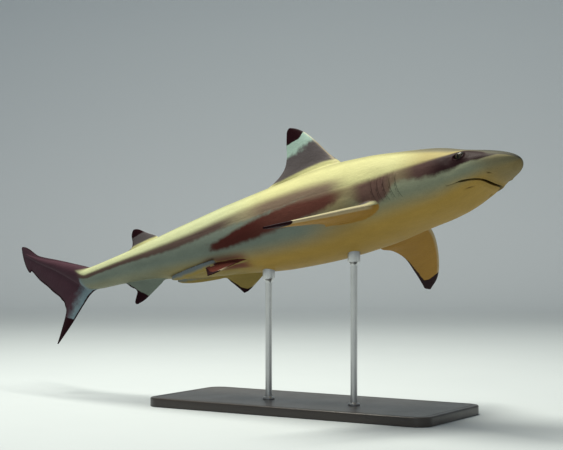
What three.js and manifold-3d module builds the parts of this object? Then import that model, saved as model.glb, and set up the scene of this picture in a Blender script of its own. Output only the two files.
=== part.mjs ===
// A life-size display model of an adult male blacktip reef shark on a plain stand.
// Millimetres, +Z up. X runs along the view the model is shown from, Y away from the viewer.
// The shark is drawn straight first: s runs back from the snout, y to its left, z up,
// all in per cent of its total length. It is cut into parts there, then bent and posed.
import * as THREE from 'three';
import Module from 'manifold-3d';

const wasm = await Module();
wasm.setup();

// ---- Driving sizes ---------------------------------------------------------------------
const TOTAL_LENGTH = 1300;
const PERCENT = TOTAL_LENGTH / 100;
const GAP = 0.3;              // clearance between neighbouring parts
const GAP_SHARE = GAP / PERCENT;
const EDGE = 1.2 / PERCENT;   // thickness of a fin at its edges

// ---- Pose ------------------------------------------------------------------------------
const YAW = -31.8;            // degrees: the head comes towards the viewer
const PITCH = 13.3;           // nose up
const ROLL = -12.7;           // belly turned to the viewer
const PIVOT = 36;             // station that stands over the middle of the base
const PIVOT_HEIGHT = 365;
// Heading of the backbone along the body, in degrees: station, turn to the right.
const HEADING = [
  [0, -7], [18, -5.5], [36, 0], [54, 6.5], [68, -0.6], [78, -5.2], [92, -19], [104, -23],
];

// ---- Body ------------------------------------------------------------------------------
// Station, half width, top, bottom, level of the widest point, roundness above and below.
const STATIONS = [
  [0, 0, -0.3, -0.3, -0.3, 2.0, 2.2],
  [1, 2.25, 0.82, -1.5, -0.3, 2.0, 2.3],
  [3, 3.5, 1.7, -2.15, -0.3, 2.0, 2.4],
  [7, 4.8, 2.95, -3.4, -0.35, 2.1, 2.6],
  [12, 5.65, 4.72, -4.95, -0.6, 2.1, 2.5],
  [18, 6.35, 5.95, -5.5, -0.7, 2.1, 2.3],
  [24, 6.75, 7, -6.2, -0.6, 2.0, 2.2],
  [31, 6.8, 7.6, -6.52, -0.4, 1.9, 2.1],
  [40, 6.3, 7, -6.18, -0.3, 1.9, 2.1],
  [49, 5.2, 5.98, -5.1, -0.2, 1.9, 2.1],
  [57, 3.9, 4.62, -4.25, -0.1, 1.9, 2.0],
  [64, 2.9, 3.4, -3.08, 0.0, 1.9, 2.0],
  [71, 2.15, 2.45, -2.25, 0.1, 2.0, 2.0],
  [77.5, 1.6, 2, -1.8, 0.1, 2.1, 2.1],
  [81, 1.15, 3.25, -0.1, 1.75, 2.0, 2.0],
  [86, 0.8, 5.15, 3.1, 4.2, 2.0, 2.0],
  [91.5, 0.5, 7.2, 6.0, 6.65, 2.0, 2.0],
  [97, 0.25, 9.7, 9.1, 9.4, 2.0, 2.0],
];
const BODY_END = 97;
const RING_POINTS = 26;
const NECK_CUT = 22;
const WAIST_CUT = 42;
const VENT_CUT = 56;
const TAIL_CUT = 78;
const CUT = 0.4 / PERCENT;

// ---- Head ------------------------------------------------------------------------------
const MOUTH = { front: 4.6, corner: 9.3, halfWidth: 4.7, squareness: 4.5, back: 12.5, roof: -1.2 };
const EYE = { station: 7.05, level: 1.2, length: 0.85, height: 0.68, depth: 0.62, bulge: 0.14 };
const NOSTRIL = { station: 3.5, side: 2.6, length: 1.1, width: 0.25, depth: 0.9, slant: 35 };
const GILLS = {
  count: 5, first: 16.2, last: 20.2, low: -2.6, high: 1.2, lean: 0.16, width: 0.09, depth: 0.35,
};

// ---- Fins ------------------------------------------------------------------------------
// lead and trail are the front and hind edges: a runs back from the fin's origin, b out from
// the body. root and tip are thicknesses.
const DORSAL = {
  origin: 29.6, base: 10.5, root: 1.7, tip: 0.35,
  lead: [[-0.4, -1.2], [1.15, 1.1], [2.8, 3.25], [4.75, 5.75], [6.4, 7.45], [7.7, 8.35], [8.5, 8.68]],
  trail: [
    [10.5, -1.2], [12, 0], [13.8, 0.12], [12.6, 0.68], [11.2, 1.5], [10.15, 2.6], [9.65, 4.2], [9.55, 6],
    [9.42, 7.3], [9.25, 8.35], [8.95, 8.7],
  ],
};
const DORSAL_REAR = {
  origin: 64, base: 4.8, root: 0.75, tip: 0.25,
  lead: [[-1.2, -0.45], [-0.08, 0.72], [1.3, 1.63], [2.3, 2.36], [3.1, 2.95], [3.75, 3.25], [4.1, 3.32]],
  trail: [
    [4.8, -0.45], [5.6, -0.05], [6.6, 0.05], [5.3, 0.22], [4.72, 0.6], [4.55, 1.2], [4.6, 1.8], [4.68, 2.4],
    [4.56, 2.98], [4.35, 3.26],
  ],
};
const ANAL = {
  origin: 63.4, base: 5, root: 0.75, tip: 0.25,
  lead: [[-1.4, -0.5], [-0.54, 0.38], [0.3, 1.08], [1.66, 2.08], [2.53, 2.7], [3.4, 3.24], [4.7, 3.75]],
  trail: [
    [5, -0.5], [5.9, -0.1], [7, 0.02], [6.4, 0.52], [5.7, 0.95], [4.95, 1.3], [4.65, 1.75], [4.85, 2.4],
    [5.08, 3], [5.18, 3.45], [5.02, 3.72],
  ],
};
const PECTORAL = {
  origin: 19.7, span: 16, side: 5.2, level: -2.32, root: 1.9, tip: 0.35,
  lead: [[-0.3, -2.2], [1.8, 4.2], [6.3, 11.3], [9.3, 14.7], [11.4, 16.05]],
  trail: [
    [6.2, -2.2], [7.4, 0.2], [8.7, 1.1], [9.3, 2.05], [8.6, 3.5], [8.6, 6.15], [10.1, 10.7], [11.5, 14.3],
    [11.9, 15.35], [11.72, 16],
  ],
};
const PECTORAL_LEFT = { drop: 10, tilt: 10.8, twist: -6.7, lean: 3.7 };
const PECTORAL_RIGHT = { drop: 14.8, tilt: 7.8, twist: 6, lean: 3.5 };
const PELVIC = {
  origin: 45.8, side: 3, root: 0.9, tip: 0.25,
  lead: [[-1, -1.4], [-0.55, 0.1], [1.6, 1.8], [4.8, 4.2], [5.55, 4.5]],
  trail: [[5, -1.4], [7.7, -0.4], [8.35, 0.85], [7.5, 1.4], [6.7, 2.6], [5.95, 3.95], [5.75, 4.4]],
};
const PELVIC_LEFT = { drop: 44 };
const PELVIC_RIGHT = { drop: 39 };
const CLASPER = {
  start: 51.5, length: 9.3, radius: 0.72, rootSide: 3.1, tipSide: 0.82, rootLift: 1.15, tipLift: -0.3,
};
const CAUDAL = { origin: 77.8, length: 22.3, angle: 24.5, root: 1.4, tip: 0.25 };
const CAUDAL_LOW = { length: 11.3, angle: 41, start: 0.7 };

// ---- Stand -----------------------------------------------------------------------------
const BASE = { length: 620, width: 250, thickness: 18, corner: 30, chamfer: 3 };
const ROD = { radius: 6.5, collarRadius: 12, collarHeight: 24, sides: 18 };
const ROD_STATIONS = { front: 29, rear: 44 };

// ---- Colours ---------------------------------------------------------------------------
const SKIN = { color: 0x857a5c, roughness: 0.55, metalness: 0 };
const FIN = { color: 0x6f6750, roughness: 0.55, metalness: 0 };
const EYEBALL = { color: 0x14120f, roughness: 0.12, metalness: 0 };
const STEEL = { color: 0xa8abad, roughness: 0.35, metalness: 1 };
const LACQUER = { color: 0x2b2c2e, roughness: 0.5, metalness: 0 };

const radians = THREE.MathUtils.degToRad;

// ---- Curves ----------------------------------------------------------------------------
// A cubic through the stations that never overshoots them.
function smoothProfile(xs, ys) {
  const slope = xs.slice(1).map((x, i) => (ys[i + 1] - ys[i]) / (x - xs[i]));
  const tangent = xs.map((x, i) => {
    if (i === 0) return slope[0];
    if (i === xs.length - 1) return slope[i - 1];
    if (slope[i - 1] * slope[i] <= 0) return 0;
    const before = xs[i] - xs[i - 1];
    const after = xs[i + 1] - xs[i];
    const weightBefore = 2 * after + before;
    const weightAfter = after + 2 * before;
    return (weightBefore + weightAfter) / (weightBefore / slope[i - 1] + weightAfter / slope[i]);
  });
  return (x) => {
    let i = 0;
    while (i < xs.length - 2 && x > xs[i + 1]) i += 1;
    const width = xs[i + 1] - xs[i];
    const t = Math.min(Math.max((x - xs[i]) / width, 0), 1);
    const rise = t * t * (3 - 2 * t);
    return ys[i] + (ys[i + 1] - ys[i]) * rise
      + width * (tangent[i] * t * (1 - t) ** 2 - tangent[i + 1] * t * t * (1 - t));
  };
}

// The body's sizes run over the square root of the station, which rounds the nose.
const [halfWidthAt, topAt, bottomAt, levelAt, roundTopAt, roundBottomAt] = [1, 2, 3, 4, 5, 6].map((i) => {
  const profile = smoothProfile(STATIONS.map((row) => Math.sqrt(row[0])), STATIONS.map((row) => row[i]));
  return (s) => profile(Math.sqrt(Math.max(s, 0)));
});
const headingAt = smoothProfile(HEADING.map(([s]) => s), HEADING.map(([, turn]) => turn));

function splinePoints(points, count) {
  const curve = new THREE.CatmullRomCurve3(points.map(([a, b]) => new THREE.Vector3(a, b, 0)));
  return curve.getSpacedPoints(count).map((p) => [p.x, p.y]);
}

// ---- Straight body ---------------------------------------------------------------------
function section(s) {
  return {
    halfWidth: halfWidthAt(s),
    top: topAt(s),
    bottom: bottomAt(s),
    level: levelAt(s),
    roundTop: roundTopAt(s),
    roundBottom: roundBottomAt(s),
  };
}

function bodyPoint(s, angle, grow = 0) {
  const shape = section(s);
  const cos = Math.cos(angle);
  const sin = Math.sin(angle);
  const round = sin >= 0 ? shape.roundTop : shape.roundBottom;
  const reach = sin >= 0 ? shape.top - shape.level : shape.level - shape.bottom;
  const y = (shape.halfWidth + grow) * Math.sign(cos) * Math.abs(cos) ** (2 / round);
  const z = shape.level + (reach + grow) * Math.sign(sin) * Math.abs(sin) ** (2 / round);
  return [s, y, z];
}

function bodyStations() {
  const nose = Array.from({ length: 7 }, (_, i) => 0.03 + 3 * (i / 7) ** 2);
  const head = Array.from({ length: 12 }, (_, i) => 3 + i * 1.7);
  const trunk = Array.from({ length: 17 }, (_, i) => 23.5 + i * 3.2);
  const tail = Array.from({ length: 7 }, (_, i) => 78 + i * ((BODY_END - 78) / 6));
  return [...nose, ...head, ...trunk, ...tail];
}

function bodySolid(grow = 0) {
  const angles = Array.from({ length: RING_POINTS }, (_, i) => ((i + 0.5) / RING_POINTS) * 2 * Math.PI);
  return solid(bodyStations().map((s) => angles.map((angle) => bodyPoint(s, angle, grow))));
}

// ---- Solids from rings -----------------------------------------------------------------
// Each ring is a closed loop of points; the first and last are capped from their middle.
function solid(rings) {
  const count = rings[0].length;
  const points = rings.flat();
  const faces = [];
  for (let r = 0; r + 1 < rings.length; r += 1) {
    for (let i = 0; i < count; i += 1) {
      const a = r * count + i;
      const b = r * count + ((i + 1) % count);
      faces.push([a, b, b + count], [a, b + count, a + count]);
    }
  }
  const lastRing = rings.length - 1;
  for (const r of [0, lastRing]) {
    const middle = points.length;
    points.push([0, 1, 2].map((k) => rings[r].reduce((sum, p) => sum + p[k], 0) / count));
    for (let i = 0; i < count; i += 1) {
      const a = r * count + i;
      const b = r * count + ((i + 1) % count);
      faces.push(r === 0 ? [middle, b, a] : [middle, a, b]);
    }
  }
  return manifold(points, faces);
}

function manifold(points, faces) {
  const volume = faces.reduce((sum, [a, b, c]) => {
    const [p, q, r] = [points[a], points[b], points[c]];
    return sum + p[0] * (q[1] * r[2] - q[2] * r[1]) + p[1] * (q[2] * r[0] - q[0] * r[2])
      + p[2] * (q[0] * r[1] - q[1] * r[0]);
  }, 0);
  const outward = volume > 0 ? faces : faces.map(([a, b, c]) => [a, c, b]);
  return new wasm.Manifold(new wasm.Mesh({
    numProp: 3,
    vertProperties: new Float32Array(points.flat()),
    triVerts: new Uint32Array(outward.flat()),
  }));
}

function box(low, high) {
  const ring = (s) => [
    [s, low[1], low[2]], [s, high[1], low[2]], [s, high[1], high[2]], [s, low[1], high[2]],
  ];
  return solid([ring(low[0]), ring(high[0])]);
}

const lengthBetween = (from, to) => box([from, -20, -20], [to, 20, 40]);

// Moves every point of a solid.
function moved(shape, place) {
  const mesh = shape.getMesh();
  const step = mesh.numProp;
  const points = [];
  for (let i = 0; i < mesh.vertProperties.length; i += step) {
    points.push(place(mesh.vertProperties.slice(i, i + 3)));
  }
  const faces = [];
  for (let i = 0; i < mesh.triVerts.length; i += 3) faces.push([...mesh.triVerts.slice(i, i + 3)]);
  return manifold(points, faces);
}

// ---- Fins ------------------------------------------------------------------------------
// A fin is lofted between its leading and trailing edge, with a blade section:
// thickest a third of the way back, EDGE thick at both edges.
function finSolid(lead, trail, root, tip, place, rows = 13, columns = 6) {
  const front = splinePoints(lead, rows);
  const back = splinePoints(trail, rows);
  const shares = Array.from({ length: columns + 1 }, (_, j) => (1 - Math.cos((Math.PI * j) / columns)) / 2);
  const rings = front.map(([a0, b0], i) => {
    const [a1, b1] = back[i];
    const thickness = root + (tip - root) * (i / rows);
    const skin = (share, side) => {
      const swell = 2.598 * Math.sqrt(share) * (1 - share);
      const half = EDGE / 2 + ((thickness - EDGE) / 2) * swell;
      return place(a0 + (a1 - a0) * share, b0 + (b1 - b0) * share, side * half);
    };
    const upper = shares.map((share) => skin(share, 1));
    const under = shares.map((share) => skin(share, -1)).reverse();
    return [...upper, ...under];
  });
  return solid(rings);
}

// The fin's foot follows the straight line between the two ends of its base.
function medianFin(fin, edgeAt, outward) {
  const end = fin.origin + fin.base;
  const foot = (s) => edgeAt(fin.origin)
    + ((edgeAt(end) - edgeAt(fin.origin)) * (s - fin.origin)) / fin.base;
  const place = (a, b, h) => {
    const s = fin.origin + a;
    return [s, h, foot(s) + outward * b];
  };
  return finSolid(fin.lead, fin.trail, fin.root, fin.tip, place);
}

// drop lowers the tip, tilt lowers the hind edge, twist takes the tilt out again towards
// the tip and lean swings the tip forward.
function pectoralFin(side, pose) {
  const drop = radians(pose.drop);
  const place = (a, b, h) => {
    const along = a - b * Math.tan(radians(pose.lean));
    const tilt = radians(pose.tilt - pose.twist * (b / PECTORAL.span));
    const up = h * Math.cos(drop) - b * Math.sin(drop);
    return [
      PECTORAL.origin + along * Math.cos(tilt) + up * Math.sin(tilt),
      side * (PECTORAL.side + b * Math.cos(drop) + h * Math.sin(drop)),
      PECTORAL.level - along * Math.sin(tilt) + up * Math.cos(tilt),
    ];
  };
  return finSolid(PECTORAL.lead, PECTORAL.trail, PECTORAL.root, PECTORAL.tip, place, 15, 7);
}

function pelvicFin(side, pose, grow = 0) {
  const drop = radians(pose.drop);
  const bellyAt = (s) => 0.72 * bottomAt(s);
  const place = (a, b, h) => [
    PELVIC.origin + a,
    side * (PELVIC.side - 0.12 * a + b * Math.cos(drop) + h * Math.sin(drop)),
    bellyAt(PELVIC.origin + a) - b * Math.sin(drop) + h * Math.cos(drop),
  ];
  const spread = ([a, b]) => [4 + (a - 4) * (1 + grow), 1.5 + (b - 1.5) * (1 + grow)];
  const lead = PELVIC.lead.map(spread);
  const trail = PELVIC.trail.map(spread);
  return finSolid(lead, trail, PELVIC.root + 2 * grow, PELVIC.tip + 2 * grow, place, 9, 5);
}

function clasper(side) {
  const { start, length, radius, rootSide, tipSide, rootLift, tipLift } = CLASPER;
  const rings = Array.from({ length: 9 }, (_, i) => {
    const share = (i / 8) * 0.995;
    const size = radius * Math.sqrt(1 - share ** 4);
    const s = start + length * share;
    const out = rootSide + (tipSide - rootSide) * share;
    const level = bottomAt(s) + rootLift + (tipLift - rootLift) * share;
    return Array.from({ length: 10 }, (__, k) => {
      const angle = (k / 10) * 2 * Math.PI;
      return [s, side * (out + size * Math.cos(angle)), level + size * Math.sin(angle)];
    });
  });
  return solid(rings);
}

// ---- Tail fin --------------------------------------------------------------------------
// Points of the upper lobe are given along and across its long axis, as shares of its length.
function caudalPoint(along, across) {
  const angle = radians(CAUDAL.angle);
  const { length, origin } = CAUDAL;
  return [
    (along * Math.cos(angle) - across * Math.sin(angle)) * length,
    topAt(origin) + (along * Math.sin(angle) + across * Math.cos(angle)) * length,
  ];
}

function lowerLobePoint(along, across) {
  const angle = radians(CAUDAL_LOW.angle);
  const { length, start } = CAUDAL_LOW;
  return [
    start + (along * Math.cos(angle) + across * Math.sin(angle)) * length,
    bottomAt(CAUDAL.origin + start) + (across * Math.cos(angle) - along * Math.sin(angle)) * length,
  ];
}

const FORK = caudalPoint(0.205, -0.303);

function caudalPlate(lead, trail, root, rows) {
  const place = (a, b, h) => [CAUDAL.origin + a, h, b];
  return finSolid(lead, trail, root, CAUDAL.tip, place, rows, 6);
}

function upperLobe() {
  const lead = [
    [0, 0], [0.19, -0.004], [0.4, -0.013], [0.6, -0.026], [0.72, -0.029], [0.8, -0.018], [0.88, -0.005],
    [0.95, 0], [1.005, -0.004],
  ];
  const trail = [
    [0.276, -0.278], [0.375, -0.258], [0.48, -0.232], [0.615, -0.207], [0.755, -0.166], [0.782, -0.163],
    [0.8, -0.179], [0.87, -0.154], [0.936, -0.109], [0.989, -0.058], [1.018, -0.02],
  ];
  return caudalPlate(
    [[-1, topAt(CAUDAL.origin) - 0.5], ...lead.map((point) => caudalPoint(...point))],
    [[-1, -1.5], [3.2, -2.4], FORK, ...trail.map((point) => caudalPoint(...point))],
    CAUDAL.root,
    19,
  );
}

function lowerLobe() {
  const lead = [
    [-0.1, -0.146], [-0.059, -0.115], [0.048, -0.078], [0.187, -0.072], [0.335, -0.07], [0.495, -0.068],
    [0.674, -0.054], [0.876, -0.024], [0.99, -0.002],
  ];
  const trail = [[0.512, 0.19], [0.624, 0.127], [0.752, 0.083], [0.88, 0.042], [0.995, 0.012]];
  return caudalPlate(
    [[-2.4, -0.8], ...lead.map((point) => lowerLobePoint(...point))],
    [[1.5, 0.5], caudalPoint(0.15, -0.1), FORK, ...trail.map((point) => lowerLobePoint(...point))],
    CAUDAL.root * 0.8,
    14,
  );
}

// A band from the lower root of the tail to the fork and on, or all that lies under it.
function underFork(from, to) {
  const start = [TAIL_CUT - 1, bottomAt(TAIL_CUT) + 0.5];
  const end = [CAUDAL.origin + FORK[0], FORK[1]];
  const slope = (end[1] - start[1]) / (end[0] - start[0]);
  const reach = 12;
  const line = (s) => start[1] + slope * (s - start[0]);
  const ring = (s) => [
    [s, -5, line(s) + from], [s, 5, line(s) + from], [s, 5, line(s) + to], [s, -5, line(s) + to],
  ];
  return solid([ring(start[0]), ring(end[0] + reach)]);
}

// ---- Head details ----------------------------------------------------------------------
// The lower jaw is what lies behind the arch of the mouth, under its roof.
function jawBlock(grow = 0) {
  const { front, corner, halfWidth, squareness, back, roof } = MOUTH;
  const arch = Array.from({ length: 15 }, (_, i) => {
    const share = Math.sin(((i - 7) / 7) * (Math.PI / 2));
    return [front - grow + (corner - front) * Math.abs(share) ** squareness, share * (halfWidth + grow)];
  });
  const outline = [...arch, [back + grow, halfWidth + grow], [back + grow, -halfWidth - grow]];
  return solid([-12, roof + grow].map((z) => outline.map(([s, y]) => [s, y, z])));
}

// How far out the flank is at a station and height.
function flankAt(s, z) {
  const { halfWidth, top, bottom, level, roundTop, roundBottom } = section(s);
  const [reach, round] = z > level ? [top - level, roundTop] : [level - bottom, roundBottom];
  return halfWidth * (1 - Math.abs((z - level) / reach) ** round) ** (1 / round);
}

function eyeSolid(side, grow = 0) {
  const { station, level, depth, bulge } = EYE;
  const middle = flankAt(station, level) + bulge - depth;
  const rings = Array.from({ length: 8 }, (_, i) => {
    const polar = ((i + 0.5) / 8) * Math.PI;
    return Array.from({ length: 14 }, (__, k) => {
      const turn = (k / 14) * 2 * Math.PI;
      return [
        station + (EYE.length + grow) * Math.sin(polar) * Math.cos(turn),
        side * (middle - (depth + grow) * Math.cos(polar)),
        level + (EYE.height + grow) * Math.sin(polar) * Math.sin(turn),
      ];
    });
  });
  return solid(rings);
}

function nostrilCut(side) {
  const slant = radians(NOSTRIL.slant);
  const floor = bottomAt(NOSTRIL.station);
  const slot = box(
    [-NOSTRIL.length / 2, -NOSTRIL.width / 2, floor - 1],
    [NOSTRIL.length / 2, NOSTRIL.width / 2, floor + NOSTRIL.depth],
  );
  return moved(slot, ([a, b, z]) => [
    NOSTRIL.station + a * Math.sin(slant) - b * Math.cos(slant),
    side * (NOSTRIL.side + a * Math.cos(slant) + b * Math.sin(slant)),
    z,
  ]);
}

// A gill slit is a thin groove that leans back towards its top and follows the flank.
function gillCut(side, index) {
  const { count, first, last, low, high, lean, width, depth } = GILLS;
  const steps = 4;
  const middle = first + ((last - first) * index) / (count - 1);
  const rings = Array.from({ length: steps + 1 }, (_, i) => {
    const z = low + ((high - low) * i) / steps;
    const s = middle + lean * (z - low) + 0.22 * Math.sin((Math.PI * i) / steps);
    const inner = side * (flankAt(s, z) - depth);
    const outer = side * (flankAt(s, z) + 2);
    return [
      [s - width / 2, inner, z], [s + width / 2, inner, z], [s + width / 2, outer, z],
      [s - width / 2, outer, z],
    ];
  });
  return solid(rings);
}

// ---- Bending and posing ----------------------------------------------------------------
// The backbone is traced once in small steps, with the pivot station at the origin.
const BACKBONE = (() => {
  const step = 0.25;
  const points = [{ s: -1, x: 0, y: 0, heading: headingAt(0) }];
  for (let s = -1 + step; s <= 104; s += step) {
    const last = points[points.length - 1];
    const heading = headingAt(s - step / 2);
    points.push({
      s,
      x: last.x - Math.cos(radians(heading)) * step,
      y: last.y - Math.sin(radians(heading)) * step,
      heading: headingAt(s),
    });
  }
  const pivot = points[Math.round((PIVOT + 1) / step)];
  return { step, points: points.map((p) => ({ ...p, x: p.x - pivot.x, y: p.y - pivot.y })) };
})();

function backboneAt(s) {
  const { step, points } = BACKBONE;
  const place = Math.min(Math.max((s + 1) / step, 0), points.length - 1.001);
  const i = Math.floor(place);
  const t = place - i;
  const mix = (key) => points[i][key] * (1 - t) + points[i + 1][key] * t;
  return { x: mix('x'), y: mix('y'), heading: radians(mix('heading')) };
}

const POSE = new THREE.Matrix4()
  .makeRotationZ(radians(YAW))
  .multiply(new THREE.Matrix4().makeRotationY(radians(-PITCH)))
  .multiply(new THREE.Matrix4().makeRotationX(radians(ROLL)));

function posed([s, y, z]) {
  const bone = backboneAt(s);
  const x = bone.x - Math.sin(bone.heading) * y;
  const across = bone.y + Math.cos(bone.heading) * y;
  const point = new THREE.Vector3(x, across, z).multiplyScalar(PERCENT).applyMatrix4(POSE);
  return [point.x, point.y, point.z + PIVOT_HEIGHT];
}

// ---- Stand -----------------------------------------------------------------------------
function baseSolid() {
  const { length, width, thickness, corner, chamfer } = BASE;
  const corners = [[1, 1, 0], [-1, 1, 90], [-1, -1, 180], [1, -1, 270]];
  const outline = (inset, z) => corners.flatMap(([sx, sy, from]) => (
    Array.from({ length: 7 }, (_, i) => {
      const angle = radians(from + i * 15);
      const x = sx * (length / 2 - corner) + (corner - inset) * Math.cos(angle);
      const y = sy * (width / 2 - corner) + (corner - inset) * Math.sin(angle);
      const turn = radians(YAW);
      return [x * Math.cos(turn) - y * Math.sin(turn), x * Math.sin(turn) + y * Math.cos(turn), z];
    })
  ));
  return solid([outline(0, 0), outline(0, thickness - chamfer), outline(chamfer, thickness)]);
}

// A rod stands on the base and ends in a collar shaped to the belly above it.
function rodSolid(station, belly) {
  const [x, y, under] = posed([station, 0, bottomAt(station)]);
  const foot = BASE.thickness + GAP;
  const neck = under - ROD.collarHeight;
  const ring = (radius, z) => Array.from({ length: ROD.sides }, (_, i) => {
    const angle = (i / ROD.sides) * 2 * Math.PI;
    return [x + radius * Math.cos(angle), y + radius * Math.sin(angle), z];
  });
  const rod = solid([
    ring(ROD.radius, foot), ring(ROD.radius, neck), ring(ROD.collarRadius, neck + 8),
    ring(ROD.collarRadius, under + 12),
  ]);
  return rod.subtract(belly);
}

// ---- Parts -----------------------------------------------------------------------------
function sharkParts() {
  const grown = bodySolid(GAP_SHARE);
  const cutOff = (fin) => fin.subtract(grown);
  const clearOfFin = (side, pose) => cutOff(clasper(side)).subtract(pelvicFin(side, pose, GAP_SHARE));
  const upper = upperLobe();
  const lower = lowerLobe();
  let body = bodySolid();
  for (const side of [1, -1]) {
    body = body.subtract(eyeSolid(side, GAP_SHARE)).subtract(nostrilCut(side));
    for (let i = 0; i < GILLS.count; i += 1) body = body.subtract(gillCut(side, i));
  }
  const tail = body.add(upper).add(lower).intersect(lengthBetween(TAIL_CUT + CUT, 110));
  return {
    head: body.intersect(lengthBetween(-2, NECK_CUT)).subtract(jawBlock(GAP_SHARE)),
    lower_jaw: body.intersect(jawBlock()),
    trunk_front: body.intersect(lengthBetween(NECK_CUT + CUT, WAIST_CUT)),
    trunk_rear: body.intersect(lengthBetween(WAIST_CUT + CUT, VENT_CUT)),
    tail_stalk: body.intersect(lengthBetween(VENT_CUT + CUT, TAIL_CUT)),
    caudal_fin_upper: tail.subtract(underFork(-30, CUT)),
    caudal_fin_lower: tail.intersect(underFork(-30, 0)),
    dorsal_fin_first: cutOff(medianFin(DORSAL, topAt, 1)),
    dorsal_fin_second: cutOff(medianFin(DORSAL_REAR, topAt, 1)),
    anal_fin: cutOff(medianFin(ANAL, bottomAt, -1)),
    pectoral_fin_left: cutOff(pectoralFin(1, PECTORAL_LEFT)),
    pectoral_fin_right: cutOff(pectoralFin(-1, PECTORAL_RIGHT)),
    pelvic_fin_left: cutOff(pelvicFin(1, PELVIC_LEFT)),
    pelvic_fin_right: cutOff(pelvicFin(-1, PELVIC_RIGHT)),
    clasper_left: clearOfFin(1, PELVIC_LEFT),
    clasper_right: clearOfFin(-1, PELVIC_RIGHT),
    eye_left: eyeSolid(1),
    eye_right: eyeSolid(-1),
  };
}

function meshOf(name, shape, look) {
  const { vertProperties, numProp, triVerts } = shape.getMesh();
  const positions = new Float32Array((vertProperties.length / numProp) * 3);
  for (let i = 0; i < positions.length / 3; i += 1) {
    positions.set(vertProperties.slice(i * numProp, i * numProp + 3), i * 3);
  }
  const geometry = new THREE.BufferGeometry();
  geometry.setAttribute('position', new THREE.BufferAttribute(positions, 3));
  geometry.setIndex([...triVerts]);
  const mesh = new THREE.Mesh(geometry, new THREE.MeshStandardMaterial(look));
  mesh.name = name;
  return mesh;
}

function lookOf(name) {
  if (name.startsWith('eye')) return EYEBALL;
  return /fin|clasper/.test(name) ? FIN : SKIN;
}

const model = new THREE.Group();
model.name = 'blacktip_reef_shark';
for (const [name, shape] of Object.entries(sharkParts())) {
  model.add(meshOf(name, moved(shape, posed), lookOf(name)));
}
const belly = moved(bodySolid(GAP_SHARE), posed);
model.add(meshOf('stand_base', baseSolid(), LACQUER));
model.add(meshOf('stand_rod_front', rodSolid(ROD_STATIONS.front, belly), STEEL));
model.add(meshOf('stand_rod_rear', rodSolid(ROD_STATIONS.rear, belly), STEEL));

export default model;
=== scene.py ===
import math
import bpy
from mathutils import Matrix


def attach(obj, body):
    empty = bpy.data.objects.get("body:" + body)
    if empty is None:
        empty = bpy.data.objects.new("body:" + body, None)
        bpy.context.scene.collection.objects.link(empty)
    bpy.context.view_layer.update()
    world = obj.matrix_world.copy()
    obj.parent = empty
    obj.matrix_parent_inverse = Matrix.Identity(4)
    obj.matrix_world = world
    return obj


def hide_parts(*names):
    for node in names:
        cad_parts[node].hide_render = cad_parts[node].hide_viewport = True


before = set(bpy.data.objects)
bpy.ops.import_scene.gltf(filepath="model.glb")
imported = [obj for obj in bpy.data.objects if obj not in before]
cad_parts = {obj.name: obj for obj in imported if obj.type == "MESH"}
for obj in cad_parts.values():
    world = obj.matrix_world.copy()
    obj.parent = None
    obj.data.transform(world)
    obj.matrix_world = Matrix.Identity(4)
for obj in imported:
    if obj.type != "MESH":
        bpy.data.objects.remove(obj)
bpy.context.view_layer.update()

# Looks of a life-size blacktip reef shark on a plain stand.
#
# The skin is built straight, as the solids are: s runs back from the snout, y to the shark's left
# and z up, all in per cent of its total length. The fins are joined to the body, the mouth, gills,
# nostrils and eye sockets are cut, and the markings, with painted sunlight and shade, are measured.
# Then every point is bent along the backbone, posed and scaled to metres.
from types import SimpleNamespace as Sizes

import bpy
import numpy as np
from mathutils import Vector
from mathutils.kdtree import KDTree

# ---- Driving sizes: the solids' own, but for finer fin edges and deeper slits ----
# Only TOTAL_LENGTH, PERCENT and PIVOT_HEIGHT are in metres. Angles are in degrees.
TOTAL_LENGTH = 1.3
PERCENT = TOTAL_LENGTH / 100
YAW = -31.8
PITCH = 13.3
ROLL = -12.7
PIVOT = 36  # the station over the middle of the base
PIVOT_HEIGHT = 0.365
# Station, turn of the backbone.
HEADING = [(0, -7), (18, -5.5), (36, 0), (54, 6.5), (68, -0.6), (78, -5.2), (92, -19), (104, -23)]
# Station, half width, top, bottom, level of the widest point, roundness above and below.
STATIONS = [
    (0, 0, -0.3, -0.3, -0.3, 2.0, 2.2),
    (1, 2.25, 0.82, -1.5, -0.3, 2.0, 2.3),
    (3, 3.5, 1.7, -2.15, -0.3, 2.0, 2.4),
    (7, 4.8, 2.95, -3.4, -0.35, 2.1, 2.6),
    (12, 5.65, 4.72, -4.95, -0.6, 2.1, 2.5),
    (18, 6.35, 5.95, -5.5, -0.7, 2.1, 2.3),
    (24, 6.75, 7, -6.2, -0.6, 2.0, 2.2),
    (31, 6.8, 7.6, -6.52, -0.4, 1.9, 2.1),
    (40, 6.3, 7, -6.18, -0.3, 1.9, 2.1),
    (49, 5.2, 5.98, -5.1, -0.2, 1.9, 2.1),
    (57, 3.9, 4.62, -4.25, -0.1, 1.9, 2.0),
    (64, 2.9, 3.4, -3.08, 0.0, 1.9, 2.0),
    (71, 2.15, 2.45, -2.25, 0.1, 2.0, 2.0),
    (77.5, 1.6, 2, -1.8, 0.1, 2.1, 2.1),
    (81, 1.15, 3.25, -0.1, 1.75, 2.0, 2.0),
    (86, 0.8, 5.15, 3.1, 4.2, 2.0, 2.0),
    (91.5, 0.5, 7.2, 6.0, 6.65, 2.0, 2.0),
    (97, 0.25, 9.7, 9.1, 9.4, 2.0, 2.0),
]
MOUTH = Sizes(front=4.6, corner=9.3, half_width=4.7, squareness=4.5, gape=0.6, depth=1.2)
FURROW = Sizes(station=6.85, side=2.65, slope=0.45)
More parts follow.
